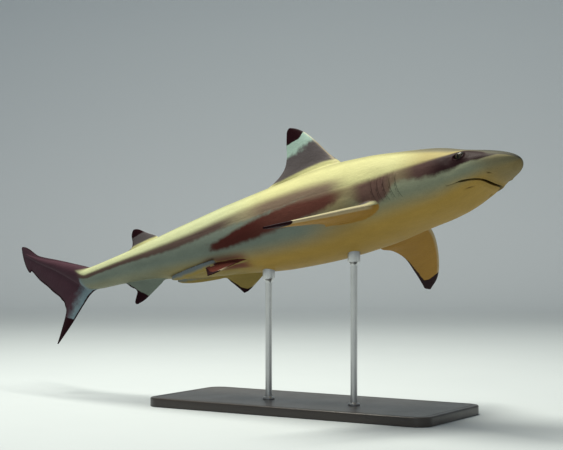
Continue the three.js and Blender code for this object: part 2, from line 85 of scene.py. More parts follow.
# Half sizes of the eyeball, how far it stands out of the cheek, and half sizes of its opening.
EYE = Sizes(station=7.05, level=1.2, length=0.85, height=0.68, depth=0.62, bulge=0.14)
LIDS = Sizes(length=0.62, height=0.48)
NOSTRIL = Sizes(station=3.5, side=2.6, length=1.1, width=0.25, depth=0.9, slant=35)
GILLS = Sizes(
    count=5, first=16.2, last=20.2, low=-2.6, high=1.2, lean=0.16, bow=0.22, width=0.1, depth=0.6,
    forward=0.45,
)
TAIL_PITS = Sizes(upper=77.6, lower=77.3, upper_depth=0.28, lower_depth=0.18)
LATERAL_LINE = Sizes(start=22, end=77, angle=17, drop=0.1, depth=0.02, width=1.1)
# lead and trail are a fin's front and hind edges: a runs back from its origin, b out from the body.
DORSAL = Sizes(
    origin=29.6, base=10.5, root=1.7, tip=0.3,
    lead=[(-0.4, -1.2), (1.15, 1.1), (2.8, 3.25), (4.75, 5.75), (6.4, 7.45), (7.7, 8.35), (8.5, 8.68)],
    trail=[
        (10.5, -1.2), (12, 0), (13.8, 0.12), (12.6, 0.68), (11.2, 1.5), (10.15, 2.6), (9.65, 4.2),
        (9.55, 6), (9.42, 7.3), (9.25, 8.35), (8.95, 8.7),
    ],
)
DORSAL_REAR = Sizes(
    origin=64, base=4.8, root=0.75, tip=0.2,
    lead=[
        (-1.2, -0.45), (-0.08, 0.72), (1.3, 1.63), (2.3, 2.36), (3.1, 2.95), (3.75, 3.25), (4.1, 3.32),
    ],
    trail=[
        (4.8, -0.45), (5.6, -0.05), (6.6, 0.05), (5.3, 0.22), (4.72, 0.6), (4.55, 1.2), (4.6, 1.8),
        (4.68, 2.4), (4.56, 2.98), (4.35, 3.26),
    ],
)
ANAL = Sizes(
    origin=63.4, base=5.0, root=0.75, tip=0.2,
    lead=[
        (-1.4, -0.5), (-0.54, 0.38), (0.3, 1.08), (1.66, 2.08), (2.53, 2.7), (3.4, 3.24), (4.7, 3.75),
    ],
    trail=[
        (5, -0.5), (5.9, -0.1), (7, 0.02), (6.4, 0.52), (5.7, 0.95), (4.95, 1.3), (4.65, 1.75),
        (4.85, 2.4), (5.08, 3), (5.18, 3.45), (5.02, 3.72),
    ],
)
PECTORAL = Sizes(
    origin=19.7, span=16, side=5.2, level=-2.32, root=1.9, tip=0.3,
    lead=[(-0.3, -2.2), (1.8, 4.2), (6.3, 11.3), (9.3, 14.7), (11.4, 16.05)],
    trail=[
        (6.2, -2.2), (7.4, 0.2), (8.7, 1.1), (9.3, 2.05), (8.6, 3.5), (8.6, 6.15), (10.1, 10.7),
        (11.5, 14.3), (11.9, 15.35), (11.72, 16),
    ],
)
PECTORAL_LEFT = Sizes(drop=10, tilt=10.8, twist=-6.7, lean=3.7)
PECTORAL_RIGHT = Sizes(drop=14.8, tilt=7.8, twist=6, lean=3.5)
PELVIC = Sizes(
    origin=45.8, side=3.0, root=0.9, tip=0.2, drop_left=44, drop_right=39,
    lead=[(-1, -1.4), (-0.55, 0.1), (1.6, 1.8), (4.8, 4.2), (5.55, 4.5)],
    trail=[(5, -1.4), (7.7, -0.4), (8.35, 0.85), (7.5, 1.4), (6.7, 2.6), (5.95, 3.95), (5.75, 4.4)],
)
CLASPER = Sizes(
    start=51.5, length=9.3, radius=0.72, root_side=3.1, tip_side=0.82, root_lift=1.15, tip_lift=-0.3,
)
CAUDAL = Sizes(origin=77.8, root=1.4, lower_root=1.12, tip=0.2)
# A lobe's start behind the tail fin's origin, its length and the angle it rises at. Its edges'
# points lie along and across it, in shares of its length.
UPPER_LOBE = Sizes(
    start=0, length=22.3, angle=24.5, fork=(0.205, -0.303),
    lead=[
        (0, 0), (0.19, -0.004), (0.4, -0.013), (0.6, -0.026), (0.72, -0.029), (0.8, -0.018),
        (0.88, -0.005), (0.95, 0), (1.005, -0.004),
    ],
    trail=[
        (0.276, -0.278), (0.375, -0.258), (0.48, -0.232), (0.615, -0.207), (0.755, -0.166),
        (0.782, -0.163), (0.8, -0.179), (0.87, -0.154), (0.936, -0.109), (0.989, -0.058),
        (1.018, -0.02),
    ],
)
LOWER_LOBE = Sizes(
    start=0.7, length=11.3, angle=-41,
    lead=[
        (-0.1, -0.146), (-0.059, -0.115), (0.048, -0.078), (0.187, -0.072), (0.335, -0.07),
        (0.495, -0.068), (0.674, -0.054), (0.876, -0.024), (0.99, -0.002),
    ],
    trail=[(0.512, 0.19), (0.624, 0.127), (0.752, 0.083), (0.88, 0.042), (0.995, 0.012)],
)
EDGE = 0.07  # thickness of a fin at its edges
CURVE_STEPS = 40  # between two points of an outline
FILLET = Sizes(height=2.4, forward=0.9)  # of a fin's root, in shares of its flare
SEAM = Sizes(reach=0.85, rounds=14, strength=0.8)  # smoothing where a fin joins the body
# The snout's rings crowd towards its point, from the first one on. Then come stations and angles
# up from the flank, each with how far apart the body's rings or points are there.
NOSE = Sizes(first=0.02, rings=24, crowding=1.8)
RING_SPACING = [
    (1.5, 0.12), (4, 0.1), (5.8, 0.08), (6.4, 0.055), (7.8, 0.055), (8.6, 0.1), (13, 0.16), (15.5, 0.12),
    (22, 0.12), (25, 0.4), (30, 0.6), (72, 0.6), (77, 0.3), (97, 0.4),
]
ANGLE_SPACING = [(-90, 1.8), (-30, 1.5), (0, 1.4), (12, 0.9), (36, 0.9), (50, 2.2), (90, 2.6)]

# ---- Skin colours, linear, many with painted sunlight or shade ----
COLOURS = dict(
    # The back's colours are painted sunlight: the brownish grey back is made light yellow.
    back=(0.49, 0.475, 0.235),
    sunlit_back_head=(0.36, 0.3, 0.12),
    sunlit_back_tail=(0.44, 0.465, 0.27),
    # brown and the streak: the flank's brown below the lit back, darkened as painted shade.
    brown=(0.165, 0.118, 0.084),
    shaded_streak=(0.082, 0.055, 0.046),
    # The top of the head: its brownish grey darkened as painted shade.
    shaded_head_top=(0.18, 0.165, 0.11),
    # The head, eye and gill bands: brown on the side of the head darkened as painted shade, near black
    # by the eye.
    head_shade_band=(0.082, 0.045, 0.04),
    eye_shade_band=(0.022, 0.009, 0.01),
    gill_shade_band=(0.128, 0.074, 0.06),
    # The wedge: the flank's brown marking, darkened as painted shade, darkest behind.
    wedge=(0.105, 0.038, 0.028),
    shaded_wedge_rear=(0.066, 0.017, 0.013),
    # The snout: its brownish grey darkened as painted shade.
    shaded_snout=(0.088, 0.085, 0.067),
    # flank, belly, cheek and snout_under: the white flank band and underside painted as in shade,
    # grey-green and olive-tan.
    flank=(0.165, 0.193, 0.155),
    belly=(0.39, 0.25, 0.062),
    belly_rear=(0.28, 0.21, 0.065),
    cheek=(0.235, 0.252, 0.17),
    snout_under=(0.2, 0.165, 0.085),
    fin_brown=(0.095, 0.082, 0.085),
    # The pectorals' white underside painted as in shade, tan.
    fin_under=(0.35, 0.19, 0.038),
    # The pelvic colours are painted shade: the fin's brown top darkened, and the white body beside it
    # darkened.
    pelvic_shade_brown=(0.17, 0.06, 0.044),
    pelvic_top_shaded=(0.08, 0.02, 0.014),
    clasper=(0.165, 0.19, 0.19),
    # caudal: the tail fin's brown-grey darkened to purple-brown as painted shade.
    caudal=(0.056, 0.027, 0.036),
    caudal_pale=(0.17, 0.232, 0.255),
)
TIP_BLACK = (0.016, 0.004, 0.006)
PALE_BAND = (0.35, 0.48, 0.42)
# Painted highlight along the fins' front edges.
EDGE_HIGHLIGHT = (0.5, 0.42, 0.27)
PORE_COLOUR = (0.07, 0.05, 0.04)
# Painted shade in slits and creases.
SLIT_SHADE = (0.012, 0.005, 0.004)
IRIS_DARK = (0.014, 0.011, 0.006)
IRIS_LIGHT = (0.07, 0.056, 0.03)
EYE_RIM = (0.012, 0.01, 0.008)
PUPIL = (0.002, 0.002, 0.002)

# ---- Stand, in metres ----
BASE = Sizes(length=0.62, width=0.25, thickness=0.018, corner=0.03, chamfer=0.003)
WOOD_DARK = (0.012, 0.0095, 0.008)
WOOD_LIGHT = (0.05, 0.036, 0.027)
WOOD_PORE = (0.006, 0.005, 0.004)
STEEL_DARK = (0.38, 0.39, 0.4)
STEEL_LIGHT = (0.62, 0.62, 0.61)
# The groove round the base's top: distance in from the edge, depth.
GROOVE = [(0.011, 0), (0.0115, 0.0009), (0.0125, 0.0009), (0.013, 0)]
ROD = Sizes(radius=0.0065, collar_radius=0.012, collar_height=0.024)
# The rod's foot ring and the start of its cup: how much wider than the rod, height.
FOOT_RING = [
    (0.0045, 0), (0.005, 0.0006), (0.005, 0.003), (0.0042, 0.004), (0.0008, 0.0046), (0, 0.0056),
]
CUP = [(0, 0), (0.0006, 0.002), (0.0025, 0.0055)]
ROD_STATIONS = dict(front=29, rear=44)

# ---- Studio ----
STUDIO = Sizes(front=-12.0, bend=3.5, radius=1.3, height=9.0, half_width=14.0)
FLOOR_TONES = (0.47, 0.51, 0.53), (0.5, 0.54, 0.56)
WALL_COLOUR = (0.84, 0.88, 0.9)
WALL_STARTS = (2.5, 4.8)  # the floor turns into the wall's colour between these
AIR_COLOUR = (0.8, 0.87, 0.92, 1)
AIR_STRENGTH = 0.3
LIGHTS = dict(
    key=dict(
        place=(-0.5, 0.5, 2.7), target=(-0.1, 0, 0.35), size=(1.5, 0.9), energy=125,
        colour=(1.0, 0.98, 0.86),
    ),
    fill=dict(
        place=(-0.8, -3.2, 1.6), target=(0, 0, 0.35), size=(2.0, 1.5), energy=12,
        colour=(0.86, 0.95, 1.0),
    ),
)

# ---- Camera: level, 2.9 m away, with its focal length in pixels of the picture ----
IMAGE_WIDTH = 563
FOCAL_PIXELS = 1500
CAMERA_PLACE = (-0.057, -2.921, 0.36)


# ---- Curves ----
def smooth_profile(knots):
    """A cubic through (x, y) knots that never overshoots them."""
    xs, ys = np.array(knots, float).T
    width = np.diff(xs)
    slope = np.diff(ys) / width
    tangent = np.empty_like(xs)
    tangent[0], tangent[-1] = slope[0], slope[-1]
    weight_before = 2 * width[1:] + width[:-1]
    weight_after = width[1:] + 2 * width[:-1]
    same_way = slope[:-1] * slope[1:] > 0
    before = np.where(same_way, slope[:-1], 1)
    after = np.where(same_way, slope[1:], 1)
    mean = (weight_before + weight_after) / (weight_before / before + weight_after / after)
    tangent[1:-1] = np.where(same_way, mean, 0)

    def at(x):
        x = np.asarray(x, float)
        i = np.clip(np.searchsorted(xs, x, side="right") - 1, 0, len(xs) - 2)
        t = np.clip((x - xs[i]) / width[i], 0, 1)
        rise = t * t * (3 - 2 * t)
        bend = tangent[i] * t * (1 - t) ** 2 - tangent[i + 1] * t * t * (1 - t)
        return ys[i] + (ys[i + 1] - ys[i]) * rise + width[i] * bend

    return at


def body_profile(column):
    """One of the body's sizes, running over the square root of the station to round the nose."""
    profile = smooth_profile([(math.sqrt(row[0]), row[column]) for row in STATIONS])
    return lambda s: profile(np.sqrt(np.maximum(s, 0)))


half_width_at, top_at, bottom_at, level_at, round_top_at, round_bottom_at = (
    body_profile(column) for column in range(1, 7)
)
heading_at = smooth_profile(HEADING)


def smoothstep(low, high, x):
    t = np.clip((x - low) / (high - low), 0, 1)
    return t * t * (3 - 2 * t)


def bump(x, width):
    return np.exp(-((x / width) ** 2))


def spline_points(points, count):
    """Evenly spaced points on the centripetal Catmull-Rom curve through the given ones."""
    points = np.array(points, float)
    points = np.vstack([2 * points[0] - points[1], points, 2 * points[-1] - points[-2]])
    knots = np.concatenate([[0], np.cumsum(np.sqrt(np.linalg.norm(np.diff(points, axis=0), axis=1)))])
    dense = []
    for i in range(1, len(points) - 2):
        p0, p1, p2, p3 = points[i - 1 : i + 3]
        t0, t1, t2, t3 = knots[i - 1 : i + 3]
        t = np.linspace(t1, t2, CURVE_STEPS, endpoint=False)[:, None]
        a1 = (t1 - t) / (t1 - t0) * p0 + (t - t0) / (t1 - t0) * p1
        a2 = (t2 - t) / (t2 - t1) * p1 + (t - t1) / (t2 - t1) * p2
        a3 = (t3 - t) / (t3 - t2) * p2 + (t - t2) / (t3 - t2) * p3
        b1 = (t2 - t) / (t2 - t0) * a1 + (t - t0) / (t2 - t0) * a2
        b2 = (t3 - t) / (t3 - t1) * a2 + (t - t1) / (t3 - t1) * a3
        dense.append((t2 - t) / (t2 - t1) * b1 + (t - t1) / (t2 - t1) * b2)
    dense = np.vstack(dense + [points[-2:-1]])
    run = np.concatenate([[0], np.cumsum(np.linalg.norm(np.diff(dense, axis=0), axis=1))])
    even = np.linspace(0, run[-1], count)
    return np.column_stack([np.interp(even, run, dense[:, k]) for k in range(2)])


# ---- Straight body ----
def half_section(s, above):
    """Reach and roundness of the body's upper or lower half at a station."""
    level = level_at(s)
    reach = np.where(above, top_at(s) - level, level - bottom_at(s))
    return reach, np.where(above, round_top_at(s), round_bottom_at(s))


def body_point(s, angle):
    cos, sin = np.cos(angle), np.sin(angle)
    reach, roundness = half_section(s, sin >= 0)
    y = half_width_at(s) * np.sign(cos) * np.abs(cos) ** (2 / roundness)
    z = level_at(s) + reach * np.sign(sin) * np.abs(sin) ** (2 / roundness)
    return np.stack(np.broadcast_arrays(s, y, z), axis=-1)


def around(points):
    """Angle up from the flank in degrees, and distance out from the body's surface."""
    s, y, z = points.T
    level = level_at(s)
    above = z >= level
    reach, roundness = half_section(s, above)
    across = (np.abs(y) / np.maximum(half_width_at(s), 1e-3)) ** (roundness / 2)
    up = (np.abs(z - level) / np.maximum(reach, 1e-3)) ** (roundness / 2)
    size = np.maximum(across**2 + up**2, 1e-9) ** (1 / roundness)
    angle = np.degrees(np.arctan2(np.where(above, up, -up), across))
    distance = (1 - 1 / size) * np.hypot(y, z - level)
    return angle, distance


def flank_at(s, z):
    """How far out the flank is at a station and height."""
    level = level_at(s)
    reach, roundness = half_section(s, z > level)
    share = np.clip(1 - np.abs((z - level) / reach) ** roundness, 0, 1)
    return half_width_at(s) * share ** (1 / roundness)


def belly_at(s, y):
    """Height of the underside at a station and distance from the midline."""
    reach, roundness = half_section(s, False)
    share = np.clip(1 - np.abs(y / half_width_at(s)) ** roundness, 0, 1)
    return level_at(s) - reach * share ** (1 / roundness)


def mouth_station(y):
    share = np.abs(y) / MOUTH.half_width
    return MOUTH.front + (MOUTH.corner - MOUTH.front) * share ** MOUTH.squareness


def gill_station(index, z):
    """A gill slit leans back towards its top and bows back in the middle."""
    share = np.clip((z - GILLS.low) / (GILLS.high - GILLS.low), 0, 1)
    step = (GILLS.last - GILLS.first) / (GILLS.count - 1)
    lean = GILLS.lean * (z - GILLS.low)
    return GILLS.first + step * index + lean + GILLS.bow * np.sin(math.pi * share)


# ---- Relief on the body: heights and half widths in per cent, like all sizes ----
def mouth_relief(s, y, z):
    """Lips: a rolled upper lip, and a jaw that sits back a little behind it."""
    side = np.clip(np.abs(y), 0, MOUTH.half_width)
    line = mouth_station(side)
    slope = (mouth_station(side + 0.05) - mouth_station(side - 0.05)) / 0.1
    behind = (s - line) / np.sqrt(1 + slope**2)
    under = smoothstep(level_at(s) - 0.2, level_at(s) - 1.2, z)
    inside = smoothstep(MOUTH.half_width + 0.7, MOUTH.half_width - 0.1, np.abs(y))
    jaw = -0.2 * np.exp(-np.clip(behind, 0, 9) / 0.5) + 0.1 * bump(behind - 0.75, 0.45)
    lip = 0.1 * bump(behind + 0.22, 0.22) - 0.05 * bump(behind + 0.8, 0.35)
    throat = -0.12 * bump(s - 12.2, 1.2) * smoothstep(4.5, 2.5, np.abs(y))
    return under * (inside * np.where(behind > 0, jaw, lip) + throat)


def furrow_at(s, y, z, length):
    along = s - FURROW.station
    across = np.abs(y) - FURROW.side - FURROW.slope * along
    return bump(across, 0.12) * bump(along, length) * (z < 0)


def furrow_relief(s, y, z):
    """A short crease in the skin on each side of the chin."""
    return -0.1 * furrow_at(s, y, z, 0.55)


def eye_relief(s, y, z):
    """A raised rim of lid, fuller above, in a shallow hollow of the cheek."""
    along = (s - EYE.station) / EYE.length
    up = (z - EYE.level) / EYE.height
    ring = np.hypot(along, up)
    rim = 0.13 * bump(ring - 0.78, 0.2)
    brow = 0.06 * bump(ring - 1.3, 0.5) * smoothstep(-0.2, 1.0, up)
    hollow = -0.07 * bump(ring - 1.9, 0.7) * smoothstep(0.6, -0.6, up)
    return (rim + brow + hollow) * (np.abs(y) > 1)


def nostril_relief(s, y, z):
    slant = math.radians(NOSTRIL.slant)
    side = np.abs(y) - NOSTRIL.side
    ahead = s - NOSTRIL.station
    along = ahead * math.sin(slant) + side * math.cos(slant)
    across = -ahead * math.cos(slant) + side * math.sin(slant)
    near = bump(along, 0.8) * (z < level_at(s))
    return near * (0.09 * bump(across - 0.28, 0.2) - 0.07 * bump(across, 0.22))


def gill_relief(s, y, z):
    """Each slit's front flap stands up and laps over the dip behind it."""
    tall = smoothstep(GILLS.low - 0.5, GILLS.low + 0.9, z)
    tall = tall * smoothstep(GILLS.high + 0.5, GILLS.high - 0.9, z)
    relief = np.zeros_like(s)
    for index in range(GILLS.count):
        behind = s - gill_station(index, z)
        flap = 0.13 * np.exp(np.minimum(behind, 0) / 0.35) * (behind <= 0)
        dip = -0.16 * np.exp(-np.maximum(behind, 0) / 0.4) * (behind > 0)
        relief += flap + dip
    return relief * tall


def tail_pit_relief(s, y, z):
    """The notch above and the smaller one below where the tail fin starts."""
    above = bump(s - TAIL_PITS.upper, 0.55) * smoothstep(1.0, 0.2, np.abs(y)) * (z > 0.8)
    below = bump(s - TAIL_PITS.lower, 0.5) * smoothstep(0.9, 0.2, np.abs(y)) * (z < -0.8)
    return -TAIL_PITS.upper_depth * above - TAIL_PITS.lower_depth * below


def lateral_line_relief(s, y, z):
    """The faint line of the flank's sense organ."""
    angle = np.degrees(np.arctan2(z - level_at(s), np.abs(y)))
    start, end = LATERAL_LINE.start, LATERAL_LINE.end
    reach = smoothstep(start, start + 4, s) * smoothstep(end, end - 5, s)
    above = angle - LATERAL_LINE.angle + LATERAL_LINE.drop * (s - start)
    return -LATERAL_LINE.depth * bump(above, LATERAL_LINE.width) * reach


RELIEFS = (
    mouth_relief, furrow_relief, eye_relief, nostril_relief, gill_relief, tail_pit_relief,
    lateral_line_relief,
)


def spaced(knots):
    """Numbers from the first knot to the last; each knot says how far apart they are there."""
    places, gaps = np.array(knots, float).T
    dense = np.linspace(places[0], places[-1], 4000)
    count = np.concatenate([[0], np.cumsum(np.diff(dense) / np.interp(dense[1:], places, gaps))])
    return np.interp(np.linspace(0, count[-1], int(round(count[-1])) + 1), count, dense)


def body_grid():
    """Rings from snout to tail, closest together over the eyes, mouth and gills."""
    first, last = NOSE.first, RING_SPACING[0][0]
    nose = first + (last - first) * np.linspace(0, 1, NOSE.rings, endpoint=False) ** NOSE.crowding
    stations = np.concatenate([nose, spaced(RING_SPACING)])
    half = np.radians(spaced(ANGLE_SPACING))
    middles = (half[1:] + half[:-1]) / 2
    angles = np.concatenate([middles, math.pi - middles[::-1]])
    s, angle = np.meshgrid(stations, angles, indexing="ij")
    points = body_point(s, angle)
    along = np.gradient(points, axis=0)
    turn = np.roll(points, -1, axis=1) - np.roll(points, 1, axis=1)
    normal = np.cross(turn, along)
    normal /= np.linalg.norm(normal, axis=-1, keepdims=True) + 1e-12
    centre = np.stack([s, 0 * s, level_at(s)], axis=-1)
    normal *= np.sign(((points - centre) * normal).sum(-1, keepdims=True))
    relief = sum(shape(points[..., 0], points[..., 1], points[..., 2]) for shape in RELIEFS)
    return points + normal * relief[..., None]


# ---- Meshes from rings ----
def placed(name, data):
    """A new object in the scene."""
    piece = bpy.data.objects.new(name, data)
    bpy.context.scene.collection.objects.link(piece)
    return piece


def mesh_object(name, points, faces):
    mesh = bpy.data.meshes.new(name)
    mesh.from_pydata(np.asarray(points, float).tolist(), [], faces)
    mesh.update()
    return placed(name, mesh)


def ring_faces(rings, count):
    r, i = np.meshgrid(np.arange(rings - 1), np.arange(count), indexing="ij")
    a = r * count + i
    b = r * count + (i + 1) % count
    return np.stack([a, b, b + count, a + count], axis=-1).reshape(-1, 4).tolist()


def turns_inward(points, faces):
    """Whether a closed mesh's faces look inward: the volume they enclose comes out below zero."""
    fans = [(face[0], face[k], face[k + 1]) for face in faces for k in range(1, len(face) - 1)]
    a, b, c = points[np.array(fans)].transpose(1, 0, 2)
    return (a * np.cross(b, c)).sum() < 0


def solid(name, rings):
    """A closed mesh lofted through rings, capped from the middle of the end ones."""
    rings = np.asarray(rings, float)
    number, count = rings.shape[:2]
    middles = [rings[0].mean(axis=0), rings[-1].mean(axis=0)]
    points = np.vstack([rings.reshape(-1, 3), middles])
    faces = ring_faces(number, count)
    first, last = number * count, number * count + 1
    start = (number - 1) * count
    for i in range(count):
        j = (i + 1) % count
        faces.append([first, j, i])
        faces.append([last, start + i, start + j])
    if turns_inward(points, faces):
        faces = [face[::-1] for face in faces]
    return mesh_object(name, points, faces)


def combine(base, other, operation):
    """Joins another solid to this one, or cuts it out, and takes the other away."""
    modifier = base.modifiers.new("combine", "BOOLEAN")
    modifier.operation = operation
    modifier.solver = "MANIFOLD"
    modifier.object = other
    bpy.context.view_layer.update()
    result = bpy.data.meshes.new_from_object(base.evaluated_get(bpy.context.evaluated_depsgraph_get()))
    base.modifiers.remove(modifier)
    base.data = result
    bpy.data.objects.remove(other)


def coordinates(piece):
    flat = np.empty(len(piece.data.vertices) * 3, np.float32)
    piece.data.vertices.foreach_get("co", flat)
    return flat.reshape(-1, 3).astype(float)


def move_to(piece, points):
    piece.data.vertices.foreach_set("co", points.astype(np.float32).ravel())
    piece.data.update()


def full_turn(count):
    """Angles all the way round, in radians."""
    return np.arange(count) / count * 2 * math.pi


# ---- Fins ----
def distance_to(edge, points):
    """Distance of each point from a line through the edge's points."""
    start, step = edge[:-1], np.diff(edge, axis=0)
    gap = points[:, None] - start[None]
    t = np.clip((gap * step).sum(-1) / np.maximum((step**2).sum(-1), 1e-9), 0, 1)
    return np.linalg.norm(gap - t[..., None] * step, axis=-1).min(axis=1)


class Fin:
    """One fin: its lofted solid, and each of its points' place on the flat fin and side."""

    def __init__(self, name, fin, place, rows=64, columns=22, flare=0.0):
        self.name = name
        front = spline_points(fin.lead, rows)
        back = spline_points(fin.trail, rows)
        shares = (1 - np.cos(math.pi * np.arange(columns + 1) / columns)) / 2
        shares = np.concatenate([shares, shares[::-1]])
        sides = np.repeat([1.0, -1.0], columns + 1)
        out = np.clip((front[:, 1] + back[:, 1]) / 2, 0, None)
        fillet = flare * np.clip(1 - out / (FILLET.height * flare + 1e-6), 0, 1) ** 2
        along = np.linspace(0, 1, rows)
        thickness = fin.root + (fin.tip - fin.root) * along + fillet
        swell = 2.598 * np.sqrt(shares) * (1 - shares)  # 1 where the fin is thickest
        half = EDGE / 2 + (np.maximum(thickness - EDGE, 0.02)[:, None] / 2) * swell[None, :]
        plan = front[:, None] + (back - front)[:, None] * shares[None, :, None]
        plan[..., 0] -= (FILLET.forward * fillet)[:, None] * (1 - shares[None, :]) ** 2
        points = place(plan[..., 0], plan[..., 1], half * sides[None, :])
        self.front, self.back = front, back
        self.plan = plan.reshape(-1, 2)
        self.side = np.broadcast_to(sides, (rows, len(sides))).reshape(-1)
        self.points = points.reshape(-1, 3)
        self.solid = solid(name, points)


def median_fin(name, fin, edge_at, outward, flare):
    """The fin's foot follows the straight line between the two ends of its base."""
    origin, end = fin.origin, fin.origin + fin.base
    slope = (edge_at(end) - edge_at(origin)) / fin.base

    def place(a, b, h):
        return np.stack([origin + a, h, edge_at(origin) + slope * a + outward * b], axis=-1)

    return Fin(name, fin, place, flare=flare)


def pectoral_fin(side, pose):
    """drop lowers the tip, tilt lowers the hind edge, twist takes the tilt out again towards the
    tip and lean swings the tip forward."""
    drop, lean = math.radians(pose.drop), math.radians(pose.lean)

    def place(a, b, h):
        along = a - b * math.tan(lean)
        tilt = np.radians(pose.tilt - pose.twist * (b / PECTORAL.span))
        up = h * math.cos(drop) - b * math.sin(drop)
        s = PECTORAL.origin + along * np.cos(tilt) + up * np.sin(tilt)
        y = side * (PECTORAL.side + b * math.cos(drop) + h * math.sin(drop))
        z = PECTORAL.level - along * np.sin(tilt) + up * np.cos(tilt)
        return np.stack([s, y, z], axis=-1)

    return Fin("pectoral", PECTORAL, place, rows=90, columns=26, flare=0.9)


def pelvic_fin(side, drop):
    """Its foot draws in towards the midline and follows the belly, and drop lowers its tip."""
    drop = math.radians(drop)

    def place(a, b, h):
        s = PELVIC.origin + a
        y = side * (PELVIC.side - 0.12 * a + b * math.cos(drop) + h * math.sin(drop))
        z = 0.72 * bottom_at(s) - b * math.sin(drop) + h * math.cos(drop)
        return np.stack([s, y, z], axis=-1)

    return Fin("pelvic", PELVIC, place, rows=44, columns=18, flare=0.35)


def lobe_point(lobe, along, across):
    """A point of a tail lobe. The upper one starts on the back, the lower one under the stalk."""
    angle = math.radians(lobe.angle)
    edge_at = top_at if lobe.angle > 0 else bottom_at
    foot = float(edge_at(CAUDAL.origin + lobe.start))
    a = (along * math.cos(angle) - across * math.sin(angle)) * lobe.length
    b = (along * math.sin(angle) + across * math.cos(angle)) * lobe.length
    return (lobe.start + a, foot + b)


def lobe_edges(lobe):
    """A tail lobe's front edge, and its hind edge from the fork on."""
    lead, trail = ([lobe_point(lobe, *point) for point in edge] for edge in (lobe.lead, lobe.trail))
    return lead, [lobe_point(UPPER_LOBE, *UPPER_LOBE.fork)] + trail


def caudal_fin():
    """The tail fin's two lobes, each lofted, which overlap between body and fork."""
    upper_lead, upper_trail = lobe_edges(UPPER_LOBE)
    lower_lead, lower_trail = lobe_edges(LOWER_LOBE)
    upper = Sizes(
        root=CAUDAL.root,
        tip=CAUDAL.tip,
        lead=[(-1, float(top_at(CAUDAL.origin)) - 0.5)] + upper_lead,
        trail=[(-1, -1.5), (3.2, -2.4)] + upper_trail,
    )
    lower = Sizes(
        root=CAUDAL.lower_root,
        tip=CAUDAL.tip,
        lead=[(-2.4, -0.8)] + lower_lead,
        trail=[(1.5, 0.5), lobe_point(UPPER_LOBE, 0.15, -0.1)] + lower_trail,
    )

    def place(a, b, h):
        return np.stack([CAUDAL.origin + a, h, b], axis=-1)

    return [
        Fin("caudal", upper, place, rows=110, columns=26),
        Fin("caudal", lower, place, rows=70, columns=22),
    ]


def clasper_level(s):
    """Height of a clasper's middle line at a station."""
    share = np.clip((s - CLASPER.start) / CLASPER.length, 0, 1)
    lift = CLASPER.root_lift + share * (CLASPER.tip_lift - CLASPER.root_lift)
    return bottom_at(s) + lift


def clasper(name, side):
    """A tapering rod with a shallow groove along its outer face."""
    share = np.linspace(0, 0.995, 40)[:, None]
    angle = full_turn(32)[None, :]
    groove = 1 - 0.22 * bump((angle - 1.2 * math.pi) / 1.0, 0.3) * smoothstep(0.2, 0.5, share)
    size = CLASPER.radius * np.sqrt(1 - share**4) * groove
    s = CLASPER.start + share * CLASPER.length + 0 * angle
    out = CLASPER.root_side + share * (CLASPER.tip_side - CLASPER.root_side)
    y = side * (out + size * np.cos(angle))
    z = clasper_level(s) + size * np.sin(angle)
    return solid(name, np.stack([s, y, z], axis=-1))


# ---- Cuts ----
def mouth_cut():
    """A curved slot along the mouth's arch: it slants inward and narrows to its corners."""
    turn = np.linspace(-0.5 * math.pi, 0.5 * math.pi, 61)
    y = MOUTH.half_width * np.sin(turn)
    s = mouth_station(y)
    tangent = np.stack([np.gradient(s), np.gradient(y)], axis=-1)
    tangent /= np.linalg.norm(tangent, axis=-1, keepdims=True)
    normal = np.stack([-tangent[:, 1], tangent[:, 0]], axis=-1)
    taper = (0.3 + 0.7 * smoothstep(8.3, 7.1, s))[:, None]
    half = MOUTH.gape / 2 * taper
    rings = []
    for rise, inset in ((-0.6, -0.5), (MOUTH.depth, 0.9)):
        level = belly_at(s, y) + rise * np.minimum(1, 0.4 + taper[:, 0])
        for way in (1, -1):
            edge = np.stack([s, y], axis=-1) + (way * half - inset * taper) * normal
            rings.append(np.column_stack([edge, level]))
    order = [rings[0], rings[1], rings[3], rings[2]]
    return solid("mouth_cut", np.stack(order, axis=1))


def gill_cut(side, index):
    z = np.linspace(GILLS.low, GILLS.high, 16)
    s = gill_station(index, z)
    share = np.linspace(0, 1, 16)
    half = GILLS.width / 2 * (0.25 + 0.75 * np.sin(math.pi * share) ** 0.6)
    depth = GILLS.depth * (0.3 + 0.7 * np.sin(math.pi * share) ** 0.6)
    out, deep = flank_at(s, z) + 0.6, flank_at(s, z) - depth
    inner = s - GILLS.forward  # the slot runs forward as it goes in, under the flap in front
    corners = [
        (s - half, out, z), (s + half, out, z), (inner + half, deep, z), (inner - half, deep, z),
    ]
    rings = np.stack([np.column_stack([a, side * b, c]) for a, b, c in corners], axis=1)
    return solid("gill_cut", rings)


def nostril_cut(side):
    """A slanting lens-shaped slot."""
    slant = math.radians(NOSTRIL.slant)
    turn = full_turn(20)
    along = NOSTRIL.length / 2 * np.cos(turn)
    across = NOSTRIL.width / 2 * np.sin(turn) * (1.1 - np.abs(np.cos(turn)))
    s = NOSTRIL.station + along * math.sin(slant) - across * math.cos(slant)
    y = side * (NOSTRIL.side + along * math.cos(slant) + across * math.sin(slant))
    floor = belly_at(s, y)
    levels = (floor - 1.0, floor + NOSTRIL.depth)
    return solid("nostril_cut", np.stack([np.column_stack([s, y, z]) for z in levels]))


def eye_middle():
    """Distance of the eyeball's centre from the midline."""
    return flank_at(EYE.station, EYE.level) + EYE.bulge - EYE.depth


